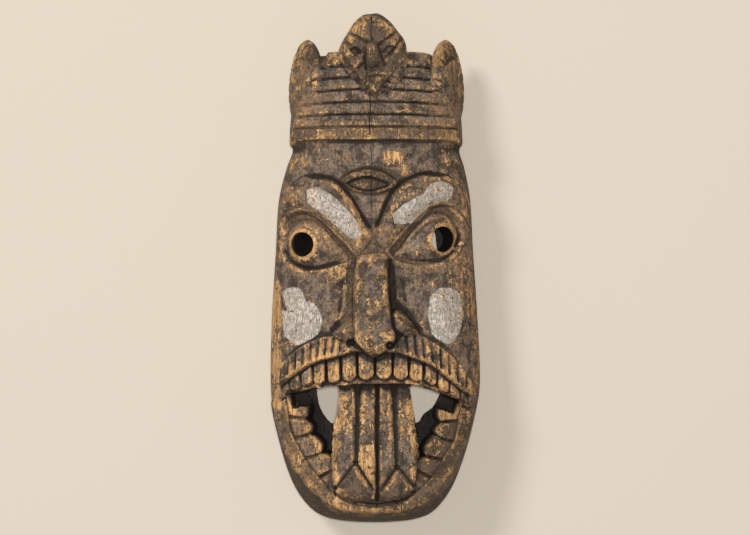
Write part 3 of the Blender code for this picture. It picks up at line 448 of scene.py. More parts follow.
# Points of the carved surface, in rows from the chin up, each from the left back rim over the face
def headPoints():
    step = mesh["pointStep"]
    halfCount = int((dims["maskWide"] / 2 + dims["faceDeep"]) * 0.88 / step)
    share = np.linspace(0, 1, int(dims["maskTall"] * 0.96 / step))
    ups = shoulderAt * share ** (1 + 0.25 * (1 - share) ** 6)
    left, right = curve(*leftEdge), curve(*rightEdge)
    base = np.zeros((len(ups), 2 * halfCount - 1, 3))
    for row, up in enumerate(ups):
        y = (up - 50) * perTall
        for side, edge in ((-1, left), (1, right)):
            halfWidth = max(abs(np.interp(y, edge[:, 1], edge[:, 0])), 4 * hair)
            x, z = section(halfWidth, dims["faceDeep"] * profile(middleRise, up), halfCount)
            base[row, halfCount - 1::side, 0] = side * x
            base[row, halfCount - 1::side, 2] = z
        base[row, :, 1] = y
    normal = np.cross(np.gradient(base, axis=1), np.gradient(base, axis=0))
    normal /= np.linalg.norm(normal, axis=2, keepdims=True)
    x, y, z = (base[..., i] for i in range(3))
    alongView, skin = carving(x, y)
    # the carving dies out down the sides, and the rim stays flat on the ground
    points = base + normal * (skin * smooth(z / dims["faceDeep"] / 0.42 - 0.55))[..., None]
    points[..., 2] = np.maximum(points[..., 2] + alongView, np.minimum(z, 0.27 * dims["faceDeep"]))
    points[:, [0, -1], 2] = 0
    return points


def newObject(name, bm, collection):
    data = bpy.data.meshes.new(name)
    bm.normal_update()
    bmesh.ops.recalc_face_normals(bm, faces=bm.faces)
    bm.to_mesh(data)
    bm.free()
    made = bpy.data.objects.new(name, data)
    collection.objects.link(made)
    return made


# The head is a grid moved onto the carved surface, closed by the crown's top, the chin's end and the back
def carveHead(collection):
    points = headPoints()
    rows, columns, _ = points.shape
    bm = bmesh.new()
    bmesh.ops.create_grid(bm, x_segments=columns - 1, y_segments=rows - 1, size=1)
    sheet = {}
    for vert in bm.verts:
        row, column = round((vert.co.y + 1) / 2 * (rows - 1)), round((vert.co.x + 1) / 2 * (columns - 1))
        sheet[row, column] = vert
        vert.co = points[row, column]
    bm.faces.new([sheet[rows - 1, column] for column in range(columns)])
    bm.faces.new([sheet[0, column] for column in range(columns)])
    rim = [sheet[row, 0] for row in range(rows)] + [sheet[row, columns - 1] for row in reversed(range(rows))]
    bm.faces.new(rim)
    return newObject("head", bm, collection)


# Crown leaves: a sphere drawn out to the leaf's outline, flattened, and carved on its outer side
middleLeafOutline = [(-1.9, 100.0), (1.9, 100.0), (7.1, 98.5), (11.0, 96.5), (14.0, 94.8), (15.1, 92.7),
                     (15.1, 90.1), (13.3, 87.3), (10.0, 85.0), (6.2, 82.8), (1.9, 82.3), (-2.4, 82.8),
                     (-6.7, 84.7), (-10.5, 86.9), (-15.0, 89.7), (-17.5, 91.8), (-17.1, 93.0),
                     (-15.2, 94.8), (-12.9, 96.3), (-9.5, 98.5), (-5.7, 99.8)]
middleLeafAt = 0.80  # its height above the back, as a share of the face's depth
sideLeafTurn = math.radians(61)
sideLeafMiddle = 85.0
sideLeafHalf = 8.9
sideLeafAt = 0.44
notchCount = 22


def smallFace(x, y):
    shield = curve((-16.2, 92.8), (-11.9, 90.3), (-7.1, 87.5), (-2.9, 85.6), (0.5, 84.6), (4.3, 86.6),
                   (10.0, 89.3), (14.3, 91.3), (12.9, 94.4), (8.6, 97.3), (-1.4, 99.5), (-11.0, 97.3))
    rise = -0.8 * dims["chiselCut"] * (1 - smooth(inside(shield, x, y, 10 * hair) / (1.4 * hair) + 0.5))
    smallNose = curve((-5.2, 93.8), (-1.9, 94.4), (1.9, 93.6), (2.9, 91.3), (0.5, 89.7), (-2.4, 89.5),
                      (-4.8, 90.9))
    smallLips = curve((-4.3, 88.1), (0.5, 88.9), (5.7, 88.3), (3.3, 86.9), (0.0, 86.4), (-2.9, 86.9))
    rise += swell(smallNose, x, y, 6 * hair, 1.7 * dims["chiselCut"])
    rise += swell(smallLips, x, y, 4 * hair, 0.9 * dims["chiselCut"])
    for eye in ([(-12.4, 93.0), (-9.0, 93.4), (-6.2, 92.4), (-9.0, 91.6)],
                [(3.3, 92.4), (6.2, 93.6), (9.5, 93.4), (7.6, 91.8)]):
        rise -= 1.2 * dims["chiselCut"] * smooth(inside(curve(*eye), x, y, 10 * hair) / (2 * hair) + 0.5)
    for line in ([(-13.8, 96.9), (-8.1, 95.4), (-2.9, 94.0)], [(11.0, 96.9), (6.2, 95.2), (1.0, 93.6)],
                 [(-15.2, 94.8), (-11.0, 93.6), (-6.7, 92.2)], [(12.9, 95.2), (8.6, 92.8), (4.3, 91.3)],
                 [(-4.3, 93.8), (-4.8, 91.3), (-4.3, 88.9)], [(1.4, 93.6), (3.8, 90.9), (5.2, 89.7)],
                 [(-8.1, 89.3), (-5.2, 90.3)], [(-3.3, 87.5), (1.0, 87.8), (5.2, 87.7)]):
        rise += cut(curve(*line), x, y, 2.6 * hair, dims["chiselCut"])
    for border in (curve((-16.2, 91.6), (-1.4, 83.2)), curve((14.3, 89.7), (4.3, 83.4))):
        _, share = follow(border, x, y, 12 * hair)
        ridge = np.abs(2 * ((share * 6 - (y - x) / (60 * hair)) % 1) - 1)
        outside = inside(shield, x, y, 10 * hair) < -2 * hair
        rise -= 0.6 * dims["chiselCut"] * np.clip(ridge / 0.3 - 2.33, 0, 1) * outside
    return rise


# Notches round the rim of a side leaf, whose across is x and whose upright is y
def sideNotches(x, y):
    y = (y - at(0, sideLeafMiddle)[1]) / (sideLeafHalf * perTall)
    x = x / (dims["leafSpread"] / 2)
    out = np.hypot(x, y)
    turn = np.arctan2(y, x) * notchCount / 2 / math.pi
    rise = -0.6 * dims["chiselCut"] * smooth(1 - np.abs(out - 0.74) / 0.05)
    notch = smooth((np.abs(2 * (turn % 1) - 1) - 0.7) / 0.2)
    return rise - 0.8 * dims["chiselCut"] * smooth((out - 0.74) / 0.05) * notch


def ovalLeaf():
    turn = np.arange(72) * math.pi / 36
    tip = 1 + 0.16 * np.clip(np.sin(turn), 0, 1) ** 2.5
    return np.stack([dims["leafSpread"] / 2 * np.cos(turn),
                     at(0, sideLeafMiddle)[1] + sideLeafHalf * perTall * np.sin(turn) * tip], 1)


def leaf(collection, name, outline, carve, thick):
    middle = outline.mean(axis=0)
    arm = outline - middle
    angle = np.arctan2(arm[:, 1], arm[:, 0])
    order = np.argsort(angle)
    bm = bmesh.new()
    bmesh.ops.create_uvsphere(bm, u_segments=mesh["leafSpokes"], v_segments=mesh["leafRings"], radius=1)
    co = np.array([vert.co for vert in bm.verts])
    turn = np.arctan2(co[:, 1], co[:, 0])
    spread = 1 - np.arccos(np.clip(np.hypot(co[:, 0], co[:, 1]), 0, 1)) / (math.pi / 2)
    size = spread * np.interp(turn, angle[order], np.hypot(arm[:, 0], arm[:, 1])[order], period=2 * math.pi)
    x, y = middle[0] + size * np.cos(turn), middle[1] + size * np.sin(turn)
    edge = np.clip(1 - spread ** 3.2, 0, 1) ** 0.5
    outerSide = co[:, 2] > 0.02
    z = np.sign(co[:, 2]) * thick / 2 * edge + carve(x, y) * outerSide * np.minimum(1, edge * 2.5)
    for vert, place in zip(bm.verts, np.stack([x, y, z], 1)):
        vert.co = place
    return newObject(name, bm, collection)


# Holes: the gaps beside the tongue, the hollow of the back from its lower to its upper end, and the eyes
mouthHoles = ([(-28.1, 26.9), (-17.6, 27.5), (-17.4, 23.9), (-19.0, 20.4), (-21.0, 19.8), (-24.8, 21.6),
               (-27.1, 23.7)],
               [(16.5, 27.1), (19.3, 27.6), (24.3, 26.7), (31.0, 26.0), (30.5, 24.7), (27.6, 22.8),
                (23.3, 21.6), (19.5, 19.8)])
hollowEnds = (9.8, 70.7)
# Each bore: its middle, its width and height as shares of the eye hole, and how far it leans inward
boreAt = 0.78  # where a bore's middle lies, as a share of the face's depth
boreSides = 44
eyeBores = (((-35.1, 55.0), 1.36, 1.1, 0.5), ((32.2, 56.0), 1.15, 1.15, -0.2))


# Rings of points along a straight cutter, so that its walls can hold painted shade
def addRings(bm, low, high):
    for share in np.linspace(0, 1, mesh["cutterRings"])[1:-1]:
        whole = bm.verts[:] + bm.edges[:] + bm.faces[:]
        height = low + (high - low) * share
        bmesh.ops.bisect_plane(bm, geom=whole, plane_co=(0, 0, height), plane_no=(0, 0, 1))


# A clean mesh from a curve or from the head with all its cuts
def meshFrom(guide, collection, ringed=False):
    bpy.context.view_layer.update()
    evaluated = guide.evaluated_get(bpy.context.evaluated_depsgraph_get())
    data = bpy.data.meshes.new_from_object(evaluated)
    bm = bmesh.new()
    bm.from_mesh(data)
    bm.transform(guide.matrix_world)
    bmesh.ops.remove_doubles(bm, verts=bm.verts, dist=0.000002)
    if ringed:
        addRings(bm, 0, dims["faceDeep"])
    name = guide.name
    bpy.data.objects.remove(guide)
    bpy.data.meshes.remove(data)
    return newObject(name, bm, collection)


# A hole straight through along the view
def throughHole(collection, name, outline):
    flat = bpy.data.curves.new(name, "CURVE")
    flat.dimensions = "2D"
    flat.fill_mode = "BOTH"
    flat.extrude = dims["faceDeep"]
    line = flat.splines.new("POLY")
    line.points.add(len(outline) - 1)
    for point, (x, y) in zip(line.points, outline):
        point.co = (x, y, 0, 1)
    line.use_cyclic_u = True
    guide = bpy.data.objects.new(name, flat)
    collection.objects.link(guide)
    guide.location.z = dims["faceDeep"] / 2
    return meshFrom(guide, collection, True)


# A bore from the front of an eye back and inward to the hollow
def eyeBore(collection, name, place, wide, tall, lean):
    bm = bmesh.new()
    bmesh.ops.create_cone(bm, cap_ends=True, segments=boreSides, radius1=0.5, radius2=0.5, depth=1)
    addRings(bm, -0.5, 0.5)
    middle = at(*place)
    for vert in bm.verts:
        x, y, _ = vert.co * dims["eyeHole"]
        down = -vert.co.z * 1.3 * dims["faceDeep"]
        vert.co = middle[0] + x * wide + down * lean, middle[1] + y * tall, boreAt * dims["faceDeep"] - down
    return newObject(name, bm, collection)


def hollow(collection):
    bm = bmesh.new()
    bmesh.ops.create_uvsphere(bm, u_segments=36, v_segments=20, radius=1)
    low, high = ((end - 50) * perTall for end in hollowEnds)
    for vert in bm.verts:
        x, y, z = vert.co
        square = math.hypot(x, y) / max((abs(x) ** 3 + abs(y) ** 3) ** (1 / 3), 1e-6)
        vert.co = (x * square * dims["hollowWide"] / 2, (low + high + y * square * (high - low)) / 2,
                   math.copysign(abs(z) ** 0.75, z) * dims["hollowDeep"])
    return newObject("hollow", bm, collection)


dish = {
    "halfWide": 24,  # in hundredths of the mask's width
    "middle": 0.28,  # its middle and half its depth, as shares of the face's depth
    "half": 0.30,
}


# A shallow dish behind the crown's front, between the side leaves
def crownDish(collection):
    bm = bmesh.new()
    bmesh.ops.create_uvsphere(bm, u_segments=32, v_segments=12, radius=1)
    for vert in bm.verts:
        x, y, z = vert.co
        vert.co = (x * dish["halfWide"] * perWide, at(0, shoulderAt)[1] + z * dims["crownDish"],
                   (dish["middle"] + dish["half"] * y) * dims["faceDeep"])
    return newObject("crown dish", bm, collection)


def combine(target, tool, operation):
    step = target.modifiers.new(tool.name, "BOOLEAN")
    step.operation = operation
    step.object = tool
    step.solver = "MANIFOLD"
    tool.hide_render = True
    tool.display_type = "WIRE"


def carvedBlock(cutters):
    head = carveHead(cutters)
    middleLeaf = leaf(cutters, "middle leaf", curve(*middleLeafOutline), smallFace, dims["leafThick"])
    middleLeaf.location.z = middleLeafAt * dims["faceDeep"]
    combine(head, middleLeaf, "UNION")
    for side, name, place in ((-1, "left leaf", -32.4), (1, "right leaf", 33.8)):
        sideLeaf = leaf(cutters, name, ovalLeaf(), sideNotches, dims["sideLeafThick"])
        sideLeaf.rotation_euler.y = side * sideLeafTurn
        sideLeaf.location = (place * perWide, 0, sideLeafAt * dims["faceDeep"])
        combine(head, sideLeaf, "UNION")
    combine(head, crownDish(cutters), "DIFFERENCE")
    combine(head, hollow(cutters), "DIFFERENCE")
    for name, outline in zip(("left mouth hole", "right mouth hole"), mouthHoles):
        combine(head, throughHole(cutters, name, curve(*outline, outline[0], steps=2)[:-1]), "DIFFERENCE")
    for name, (place, wide, tall, lean) in zip(("left eye hole", "right eye hole"), eyeBores):
        combine(head, eyeBore(cutters, name, place, wide, tall, lean), "DIFFERENCE")
    return head


# Cuts the whole mask as one mesh, with the solid's own steps
def carvedMask():
    cutters = bpy.data.collections.new("cutters")
    bpy.context.scene.collection.children.link(cutters)
    mask = meshFrom(carvedBlock(cutters), bpy.context.scene.collection)
    mask.name = mask.data.name = "worn_mask"
    for tool in list(cutters.objects):
        bpy.data.objects.remove(tool)
    bpy.data.collections.remove(cutters)
    bm = bmesh.new()
    bm.from_mesh(mask.data)
    bmesh.ops.triangulate(bm, faces=bm.faces)
    bm.to_mesh(mask.data)
    bm.free()
    return mask


# How far each vertex stands out of its surroundings: positive on ridges, negative in cuts
def standingOut(place, normal, pairs, rounds):
    eased = place.copy()
    count = np.bincount(pairs.ravel(), minlength=len(place))[:, None]
    for _ in range(rounds):
        total = np.stack([np.bincount(pairs[:, 0], eased[pairs[:, 1], i], len(place))
                          + np.bincount(pairs[:, 1], eased[pairs[:, 0], i], len(place)) for i in range(3)], 1)
        eased = 0.5 * eased + 0.5 * total / count
    return ((place - eased) * normal).sum(axis=1)


# Where the coat is still pale: the outline of each place, and how much of it
paleLobes = [
    ([(-32.4, 65.4), (-27.6, 66.0), (-21.0, 64.6), (-13.8, 61.9), (-8.6, 59.2), (-6.7, 56.8),
      (-11.0, 56.2), (-17.1, 58.2), (-24.3, 60.9), (-31.4, 62.9)], 0.85),
    ([(8.6, 60.7), (13.3, 62.5), (18.6, 63.7), (23.8, 64.6), (25.7, 63.3), (21.9, 60.1), (14.8, 59.2),
      (9.5, 59.2)], 1.0),
    ([(22.9, 63.7), (25.2, 66.2), (31.4, 67.2), (36.7, 66.2), (35.2, 63.9), (29.0, 63.3)], 0.8),
    ([(-44.3, 45.5), (-41.4, 46.4), (-36.2, 46.4), (-33.3, 44.1), (-35.7, 42.3), (-41.4, 42.1)], 0.75),
    ([(-44.3, 42.1), (-38.6, 41.7), (-33.8, 43.7), (-28.1, 42.9), (-25.7, 40.0), (-29.0, 36.5),
      (-36.7, 35.5), (-42.9, 37.2)], 0.9),
    ([(26.2, 44.7), (31.0, 46.4), (38.6, 45.9), (41.4, 42.9), (40.0, 38.0), (34.8, 35.7), (28.1, 37.2),
      (25.2, 40.8)], 0.75),
    ([(12.9, 47.4), (21.4, 46.2), (24.3, 43.9), (17.6, 43.1)], 0.3),
    ([(-14.8, 36.8), (-11.0, 37.6), (-5.2, 36.5), (-6.2, 34.9), (-11.9, 34.7)], 0.35),
    ([(-23.3, 34.9), (-17.6, 35.9), (-16.7, 33.7), (-21.4, 32.9)], 0.4),
    ([(-39.0, 29.4), (-31.0, 31.0), (-28.1, 28.6), (-35.7, 27.1)], 0.35),
    ([(14.3, 56.4), (20.5, 57.2), (21.4, 54.5), (15.7, 53.7)], 0.35),
]
# Where the coat has gone and the wood is bare
barePatches = [
    ([(-40.0, 90.9), (-36.7, 92.8), (-33.8, 90.1), (-33.8, 85.8), (-36.7, 82.3), (-40.5, 81.1)], 0.42),
    ([(35.2, 90.9), (38.6, 92.8), (41.4, 89.7), (41.9, 83.0), (38.6, 80.7), (35.7, 85.0)], 0.4),
    ([(4.3, 98.3), (10.0, 96.7), (11.9, 93.6), (6.2, 94.8)], 0.34),
    ([(-9.0, 97.1), (-4.3, 98.7), (-2.4, 95.9), (-7.1, 94.8)], 0.34),
    ([(-32.9, 80.7), (-11.9, 79.9), (-11.9, 77.6), (-32.9, 77.6)], 0.22),
    ([(4.3, 85.0), (26.2, 86.2), (26.2, 84.2), (4.3, 83.4)], 0.22),
    ([(1.4, 72.9), (6.2, 73.4), (12.4, 72.9), (12.9, 71.3), (7.1, 70.5), (1.9, 70.9)], 0.75),
    ([(10.0, 70.1), (14.3, 70.5), (17.6, 69.3), (14.3, 68.2), (10.5, 68.6)], 0.6),
    ([(-8.6, 15.1), (-4.3, 15.9), (0.0, 14.9), (0.0, 9.5), (-4.3, 7.9), (-8.6, 9.5)], 0.8),
    ([(-50.0, 46.8), (-45.7, 47.4), (-44.3, 40.0), (-44.8, 32.2), (-46.7, 23.9), (-50.0, 24.3)], 0.9),
    ([(41.0, 46.2), (46.2, 45.9), (46.7, 40.8), (41.4, 41.0)], 0.9),
    ([(44.8, 43.9), (49.0, 43.9), (50.0, 24.3), (47.1, 24.3), (45.7, 34.1)], 0.5),
    ([(-40.0, 77.2), (-21.4, 77.7), (0.0, 77.7), (21.4, 77.7), (41.0, 77.2), (41.0, 75.6), (21.4, 76.2),
      (0.0, 76.2), (-21.4, 76.2), (-40.0, 75.2)], 0.2),
    ([(-4.3, 52.1), (-1.4, 52.5), (-0.5, 50.9), (-3.8, 50.5)], 0.7),
    ([(-4.3, 44.3), (1.4, 44.3), (3.3, 38.4), (-3.3, 38.0)], 0.42),
    ([(37.1, 58.4), (41.9, 57.6), (41.9, 54.9), (38.1, 53.5), (36.2, 55.6)], 0.7),
    ([(34.8, 68.2), (40.5, 67.0), (45.7, 63.7), (47.1, 60.7), (44.3, 60.7), (40.5, 64.2)], 0.55),
]
# Where the coat is rubbed brown: lids, the crown's sides, the leaves and round the mouth
brownPlaces = [
    ([(-44.3, 56.8), (-40.5, 59.5), (-33.3, 61.1), (-25.2, 60.3), (-16.7, 56.4), (-11.0, 53.7),
      (-11.9, 51.3), (-19.5, 52.1), (-27.1, 54.5), (-31.0, 57.2), (-37.6, 57.6), (-42.4, 55.6)], 0.8),
    ([(9.0, 53.3), (16.7, 57.2), (25.2, 61.1), (34.8, 63.1), (42.4, 60.7), (45.2, 57.2), (41.4, 54.9),
      (38.6, 58.4), (32.9, 59.9), (26.2, 58.8), (18.6, 55.6), (11.0, 52.1)], 0.8),
    ([(-41.4, 93.6), (-34.8, 95.2), (-28.1, 92.4), (-33.8, 86.9), (-38.6, 79.5), (-41.4, 78.7)], 0.7),
    ([(42.4, 93.6), (35.7, 95.2), (29.0, 92.4), (34.3, 86.9), (38.6, 79.5), (42.4, 78.7)], 0.7),
    ([(-40.5, 81.5), (-31.0, 85.0), (-25.2, 83.0), (-28.1, 76.8), (-40.5, 74.8)], 0.8),
    ([(42.4, 80.7), (31.0, 85.0), (25.2, 83.0), (29.0, 76.8), (42.4, 74.8)], 0.8),
    ([(-40.5, 77.6), (0.0, 78.7), (41.4, 77.6), (42.4, 74.8), (0.0, 75.8), (-41.0, 74.4)], 0.75),
    ([(-8.1, 59.2), (-1.4, 58.0), (7.1, 59.2), (11.0, 53.7), (6.2, 52.1), (-7.1, 52.1), (-11.9, 53.3)], 0.8),
    ([(-11.9, 52.5), (-8.1, 52.1), (-9.0, 43.9), (-12.9, 39.6), (-15.7, 41.5), (-13.8, 47.8)], 0.6),
    ([(-16.7, 40.8), (-11.0, 41.5), (-8.1, 36.8), (-14.8, 36.1)], 0.6),
    ([(9.0, 53.3), (21.4, 51.5), (35.7, 51.5), (44.3, 54.9), (47.1, 52.5), (35.7, 49.8), (21.4, 49.8),
      (11.0, 51.7)], 0.95),
    ([(-43.3, 59.2), (-35.7, 62.3), (-25.2, 61.7), (-14.8, 57.6), (-9.0, 53.7), (-13.8, 52.5),
      (-23.3, 56.4), (-31.0, 58.4), (-39.5, 58.0)], 0.95),
    ([(9.0, 54.5), (16.7, 59.2), (26.2, 62.9), (35.7, 63.9), (45.2, 61.1), (47.1, 57.6), (41.4, 58.4),
      (34.3, 61.1), (26.2, 59.9), (11.9, 52.9)], 0.95),
    ([(-46.7, 23.5), (-40.5, 23.5), (-33.8, 14.1), (-21.4, 7.9), (0.0, 4.2), (21.4, 7.1), (33.8, 13.8),
      (41.4, 23.5), (48.1, 22.8), (43.3, 14.5), (31.0, 5.9), (1.0, 1.8), (-27.1, 5.9), (-41.4, 14.5)], 0.7),
    ([(-15.7, 95.6), (-9.0, 99.1), (1.4, 100.3), (10.0, 98.3), (14.8, 94.0), (10.0, 90.9), (-1.4, 84.2),
      (-11.0, 89.7)], 0.5),
    ([(-41.4, 31.8), (-26.2, 36.1), (-14.3, 36.1), (-14.3, 33.7), (-25.2, 33.3), (-39.5, 28.6)], 0.5),
    ([(45.2, 31.0), (29.0, 36.1), (14.8, 36.5), (12.9, 33.7), (29.0, 32.9), (42.4, 27.5)], 0.5),
    ([(-40.5, 22.4), (-35.7, 23.5), (-19.5, 16.5), (-18.6, 7.9), (-27.1, 9.5), (-37.6, 15.3)], 0.6),
    ([(41.4, 22.4), (35.7, 23.5), (21.4, 16.5), (20.5, 7.9), (29.0, 9.8), (38.6, 15.3)], 0.6),
]
# Places darkened with painted shade and some soot: the chin, the insides of the side leaves, the back teeth,
# and beside the nose
sootAndShadePlaces = [
    ([(-48.1, 20.0), (-43.3, 14.5), (-37.1, 10.0), (-28.6, 6.1), (-15.7, 3.6), (1.0, 3.0), (16.7, 3.6),
      (27.6, 5.0), (37.1, 8.7), (43.8, 14.0), (47.6, 18.8), (51.4, 18.1), (45.7, 8.3), (31.0, 1.6),
      (1.0, -1.3), (-31.0, 1.6), (-45.7, 9.5), (-51.4, 18.5)], 1.2),
    ([(46.2, 24.3), (35.7, 23.9), (23.3, 16.5), (20.5, 8.7), (29.0, 8.7), (40.5, 14.5), (47.1, 20.4)], 0.72),
    ([(-46.7, 22.4), (-41.4, 22.4), (-34.8, 14.1), (-21.4, 7.5), (0.0, 4.2), (21.4, 7.1), (32.9, 13.4),
      (40.5, 22.4), (47.1, 22.0), (43.3, 14.5), (31.0, 5.9), (1.0, 2.2), (-27.1, 5.9), (-41.4, 14.5)], 0.36),
    ([(-35.7, 66.6), (-21.4, 67.0), (-13.8, 63.5), (-16.7, 62.3), (-25.2, 65.4), (-33.8, 65.4)], 0.3),
    ([(-16.7, 95.6), (-1.4, 100.3), (12.9, 96.7), (14.8, 92.8), (-1.4, 83.8), (-15.2, 90.9)], 0.6),
    ([(-17.6, 7.1), (-14.3, 10.6), (0.0, 12.2), (16.7, 10.6), (18.6, 7.5), (15.7, 5.1), (0.0, 4.2),
      (-15.7, 5.3)], 0.42),
    ([(-41.4, 93.6), (-34.8, 95.2), (-28.1, 92.4), (-33.8, 86.9), (-38.6, 79.5), (-41.4, 78.7)], 0.3),
    ([(-40.5, 77.6), (0.0, 78.5), (41.4, 77.6), (41.9, 75.2), (0.0, 76.0), (-40.5, 74.8)], 0.4),
    ([(-19.5, 67.0), (-11.9, 69.5), (-1.9, 70.1), (8.1, 69.5), (14.8, 67.4), (7.1, 65.2), (-1.9, 64.4),
      (-11.0, 65.0)], 0.95),
    ([(-32.9, 26.7), (-25.2, 26.7), (-21.4, 20.4), (-17.6, 16.5), (-17.6, 11.4), (-23.3, 15.7),
      (-30.0, 20.4), (-33.8, 24.3)], 0.8),
    ([(34.8, 26.7), (29.0, 26.3), (24.3, 21.2), (19.5, 16.5), (19.5, 12.2), (26.2, 15.7), (32.9, 20.8),
      (36.7, 24.3)], 0.8),
    ([(-8.1, 51.3), (-4.8, 51.3), (-5.2, 41.9), (-7.1, 38.0), (-9.5, 43.9)], 0.4),
    ([(4.3, 51.3), (7.1, 51.3), (9.0, 40.0), (6.2, 38.8), (4.3, 43.9)], 0.4),
    ([(-34.8, 94.2), (-28.1, 94.0), (-22.4, 91.4), (-29.0, 89.7), (-33.3, 91.3)], 0.95),
    ([(25.7, 90.9), (31.0, 93.4), (36.7, 94.8), (40.5, 93.6), (36.7, 90.9), (31.0, 89.3)], 0.95),
    ([(-11.0, 51.3), (-13.8, 45.9), (-14.8, 41.5), (-11.4, 39.6), (-9.0, 43.9), (-8.1, 49.8)], 0.2),
    ([(7.6, 52.5), (10.0, 45.9), (9.0, 40.0), (6.7, 43.9), (5.7, 49.8)], 0.5),
    ([(11.0, 43.9), (18.6, 39.6), (23.3, 37.2), (16.7, 38.0), (10.0, 40.8)], 0.6),
]
# Dark lines of painted shade and some soot: their places, half width in hairs, and strength
sootAndShadeLines = [
    ([(11.0, 53.9), (18.6, 58.2), (26.7, 61.7), (34.3, 62.6), (41.4, 60.9), (46.2, 57.6)], 0.7, 0.9),
    ([(-43.3, 58.8), (-37.6, 61.3), (-29.0, 60.9), (-21.0, 58.4), (-11.9, 53.7)], 0.7, 0.9),
    ([(17.6, 56.0), (24.3, 58.8), (30.0, 59.7), (34.3, 60.3)], 2, 0.8),
    ([(-14.8, 5.7), (0.0, 4.6), (15.7, 5.3)], 1.2, 0.8),
    ([(-11.9, 93.2), (-7.1, 88.9), (-1.4, 84.6)], 0.8, 0.7),
    ([(-35.2, 93.6), (-34.3, 88.9), (-35.7, 83.0)], 1, 0.6),
    ([(37.1, 93.2), (36.7, 88.9), (38.6, 83.0)], 1, 0.6),
]
# A thinner coat on the lips, teeth and forehead, and beside the eyes
thinPlaces = [
    ([(-42.9, 28.6), (-39.5, 31.8), (-32.9, 34.1), (-19.5, 36.3), (-11.9, 35.1), (-11.9, 33.3),
      (-25.2, 32.5), (-36.7, 28.6)], 0.62),
    ([(-42.4, 73.2), (-35.7, 74.6), (-27.1, 74.4), (-21.4, 72.9), (-27.1, 70.7), (-35.7, 69.7),
      (-41.4, 68.6)], 0.44),
    ([(-20.5, 74.0), (-6.2, 74.6), (-4.3, 73.2), (-11.9, 71.7), (-19.5, 72.1)], 0.3),
    ([(19.0, 74.0), (35.7, 74.2), (41.9, 71.3), (38.6, 68.9), (29.0, 70.5), (21.4, 72.1)], 0.3),
    ([(-25.2, 50.2), (-14.3, 50.4), (-12.9, 47.0), (-17.6, 45.3), (-22.4, 46.6)], 0.4),
    ([(31.0, 51.3), (45.2, 52.5), (47.1, 45.9), (40.5, 45.5), (34.8, 48.6)], 0.36),
    ([(-47.1, 60.7), (-43.3, 62.3), (-39.5, 59.2), (-44.3, 55.6), (-46.7, 49.8), (-48.1, 49.8)], 0.36),
    ([(12.9, 33.7), (16.7, 36.1), (29.0, 34.9), (43.3, 29.8), (45.2, 26.7), (31.0, 31.0), (16.7, 32.9)], 0.2),
    ([(-40.5, 26.7), (-21.4, 31.8), (0.0, 32.9), (31.0, 31.0), (41.4, 27.5), (31.0, 26.7), (0.0, 28.6),
      (-31.0, 27.5)], 0.26),
    ([(-40.5, 22.8), (-35.7, 23.5), (-23.3, 16.5), (-21.4, 10.6), (-31.0, 10.6), (-38.6, 16.5)], 0.22),
    ([(-11.9, 27.1), (12.9, 27.1), (15.7, 18.5), (-14.3, 18.5)], 0.16),
]
# Ridges that are worn along their length: their places, half width in hairs, and strength
wornLines = [
    ([(-18.6, 66.2), (-13.8, 64.4), (-10.0, 62.1), (-7.1, 59.7), (-5.2, 57.6)], 3.5, 0.85),
    ([(23.8, 68.0), (31.0, 68.4), (38.1, 66.8), (43.3, 63.7)], 3, 0.6),
    ([(6.2, 59.2), (8.1, 61.5), (12.9, 63.7), (19.5, 65.2)], 2.5, 0.5),
    ([(-43.8, 59.2), (-37.6, 60.8), (-28.6, 60.5), (-20.5, 58.2), (-11.4, 53.5)], 1.1, 0.45),
    ([(10.0, 53.7), (17.6, 57.6), (26.2, 61.1), (34.3, 62.1), (41.4, 60.1), (45.2, 57.6)], 1.1, 0.45),
    ([(10.0, 54.9), (17.6, 59.0), (26.2, 62.5), (34.8, 63.3), (43.3, 61.1), (46.7, 58.2)], 0.8, 0.6),
    ([(-43.8, 59.9), (-37.6, 61.9), (-28.6, 61.5), (-19.5, 59.0), (-11.0, 54.5)], 0.8, 0.55),
    ([(-14.8, 27.1), (-14.3, 24.3), (-14.8, 20.8)], 6, 0.5),
    ([(-5.7, 27.1), (-5.2, 23.5), (-6.2, 18.8)], 5, 0.55),
    ([(-18.1, 16.5), (-19.0, 12.2), (-17.6, 7.1)], 4, 0.6),
    ([(6.2, 27.1), (6.7, 22.8), (7.6, 17.3)], 2.5, 0.45),
    ([(17.1, 24.3), (18.1, 16.5), (17.6, 10.6)], 3, 0.4),
    ([(-36.7, 14.1), (-32.9, 10.6), (-25.2, 7.1), (-14.3, 5.1)], 4, 0.4),
    ([(-42.4, 73.2), (-40.5, 74.8), (-35.7, 75.2)], 3, 0.4),
    ([(-6.2, 38.0), (-1.4, 37.2), (4.3, 37.6)], 3, 0.45),
    (lipCrest, 2.6, 0.34),
]


# Layers of the coat: pale, bare and brown, and the places darkened with painted shade and soot
def wornPaintedAndShaded(x, y):
    layers = {name: np.zeros(x.shape) for name in ("pale", "bare", "brown", "sootAndShade")}
    # reach and width of the soft edge in hairs, and where the step stands on the outline
    for name, places, reach, edge, onEdge in (
            ("sootAndShade", sootAndShadePlaces, 8, 5, 0.5), ("bare", thinPlaces, 8, 5, 0.5),
            ("brown", brownPlaces, 12, 9, 0.6), ("pale", paleLobes, 8, 6, 0.6),
            ("bare", barePatches, 8, 4, 0.6)):
        for outline, share in places:
            within = inside(curve(*outline), x, y, reach * hair) / (edge * hair)
            layers[name] = np.maximum(layers[name], share * smooth(within + onEdge))
    for name, lines in (("sootAndShade", sootAndShadeLines), ("bare", wornLines)):
        for places, halfWide, share in lines:
            gap, _ = follow(curve(*places), x, y, 2 * halfWide * hair)
            layers[name] = np.maximum(layers[name], share * smooth(1.5 - gap / (halfWide * hair)))
    return layers


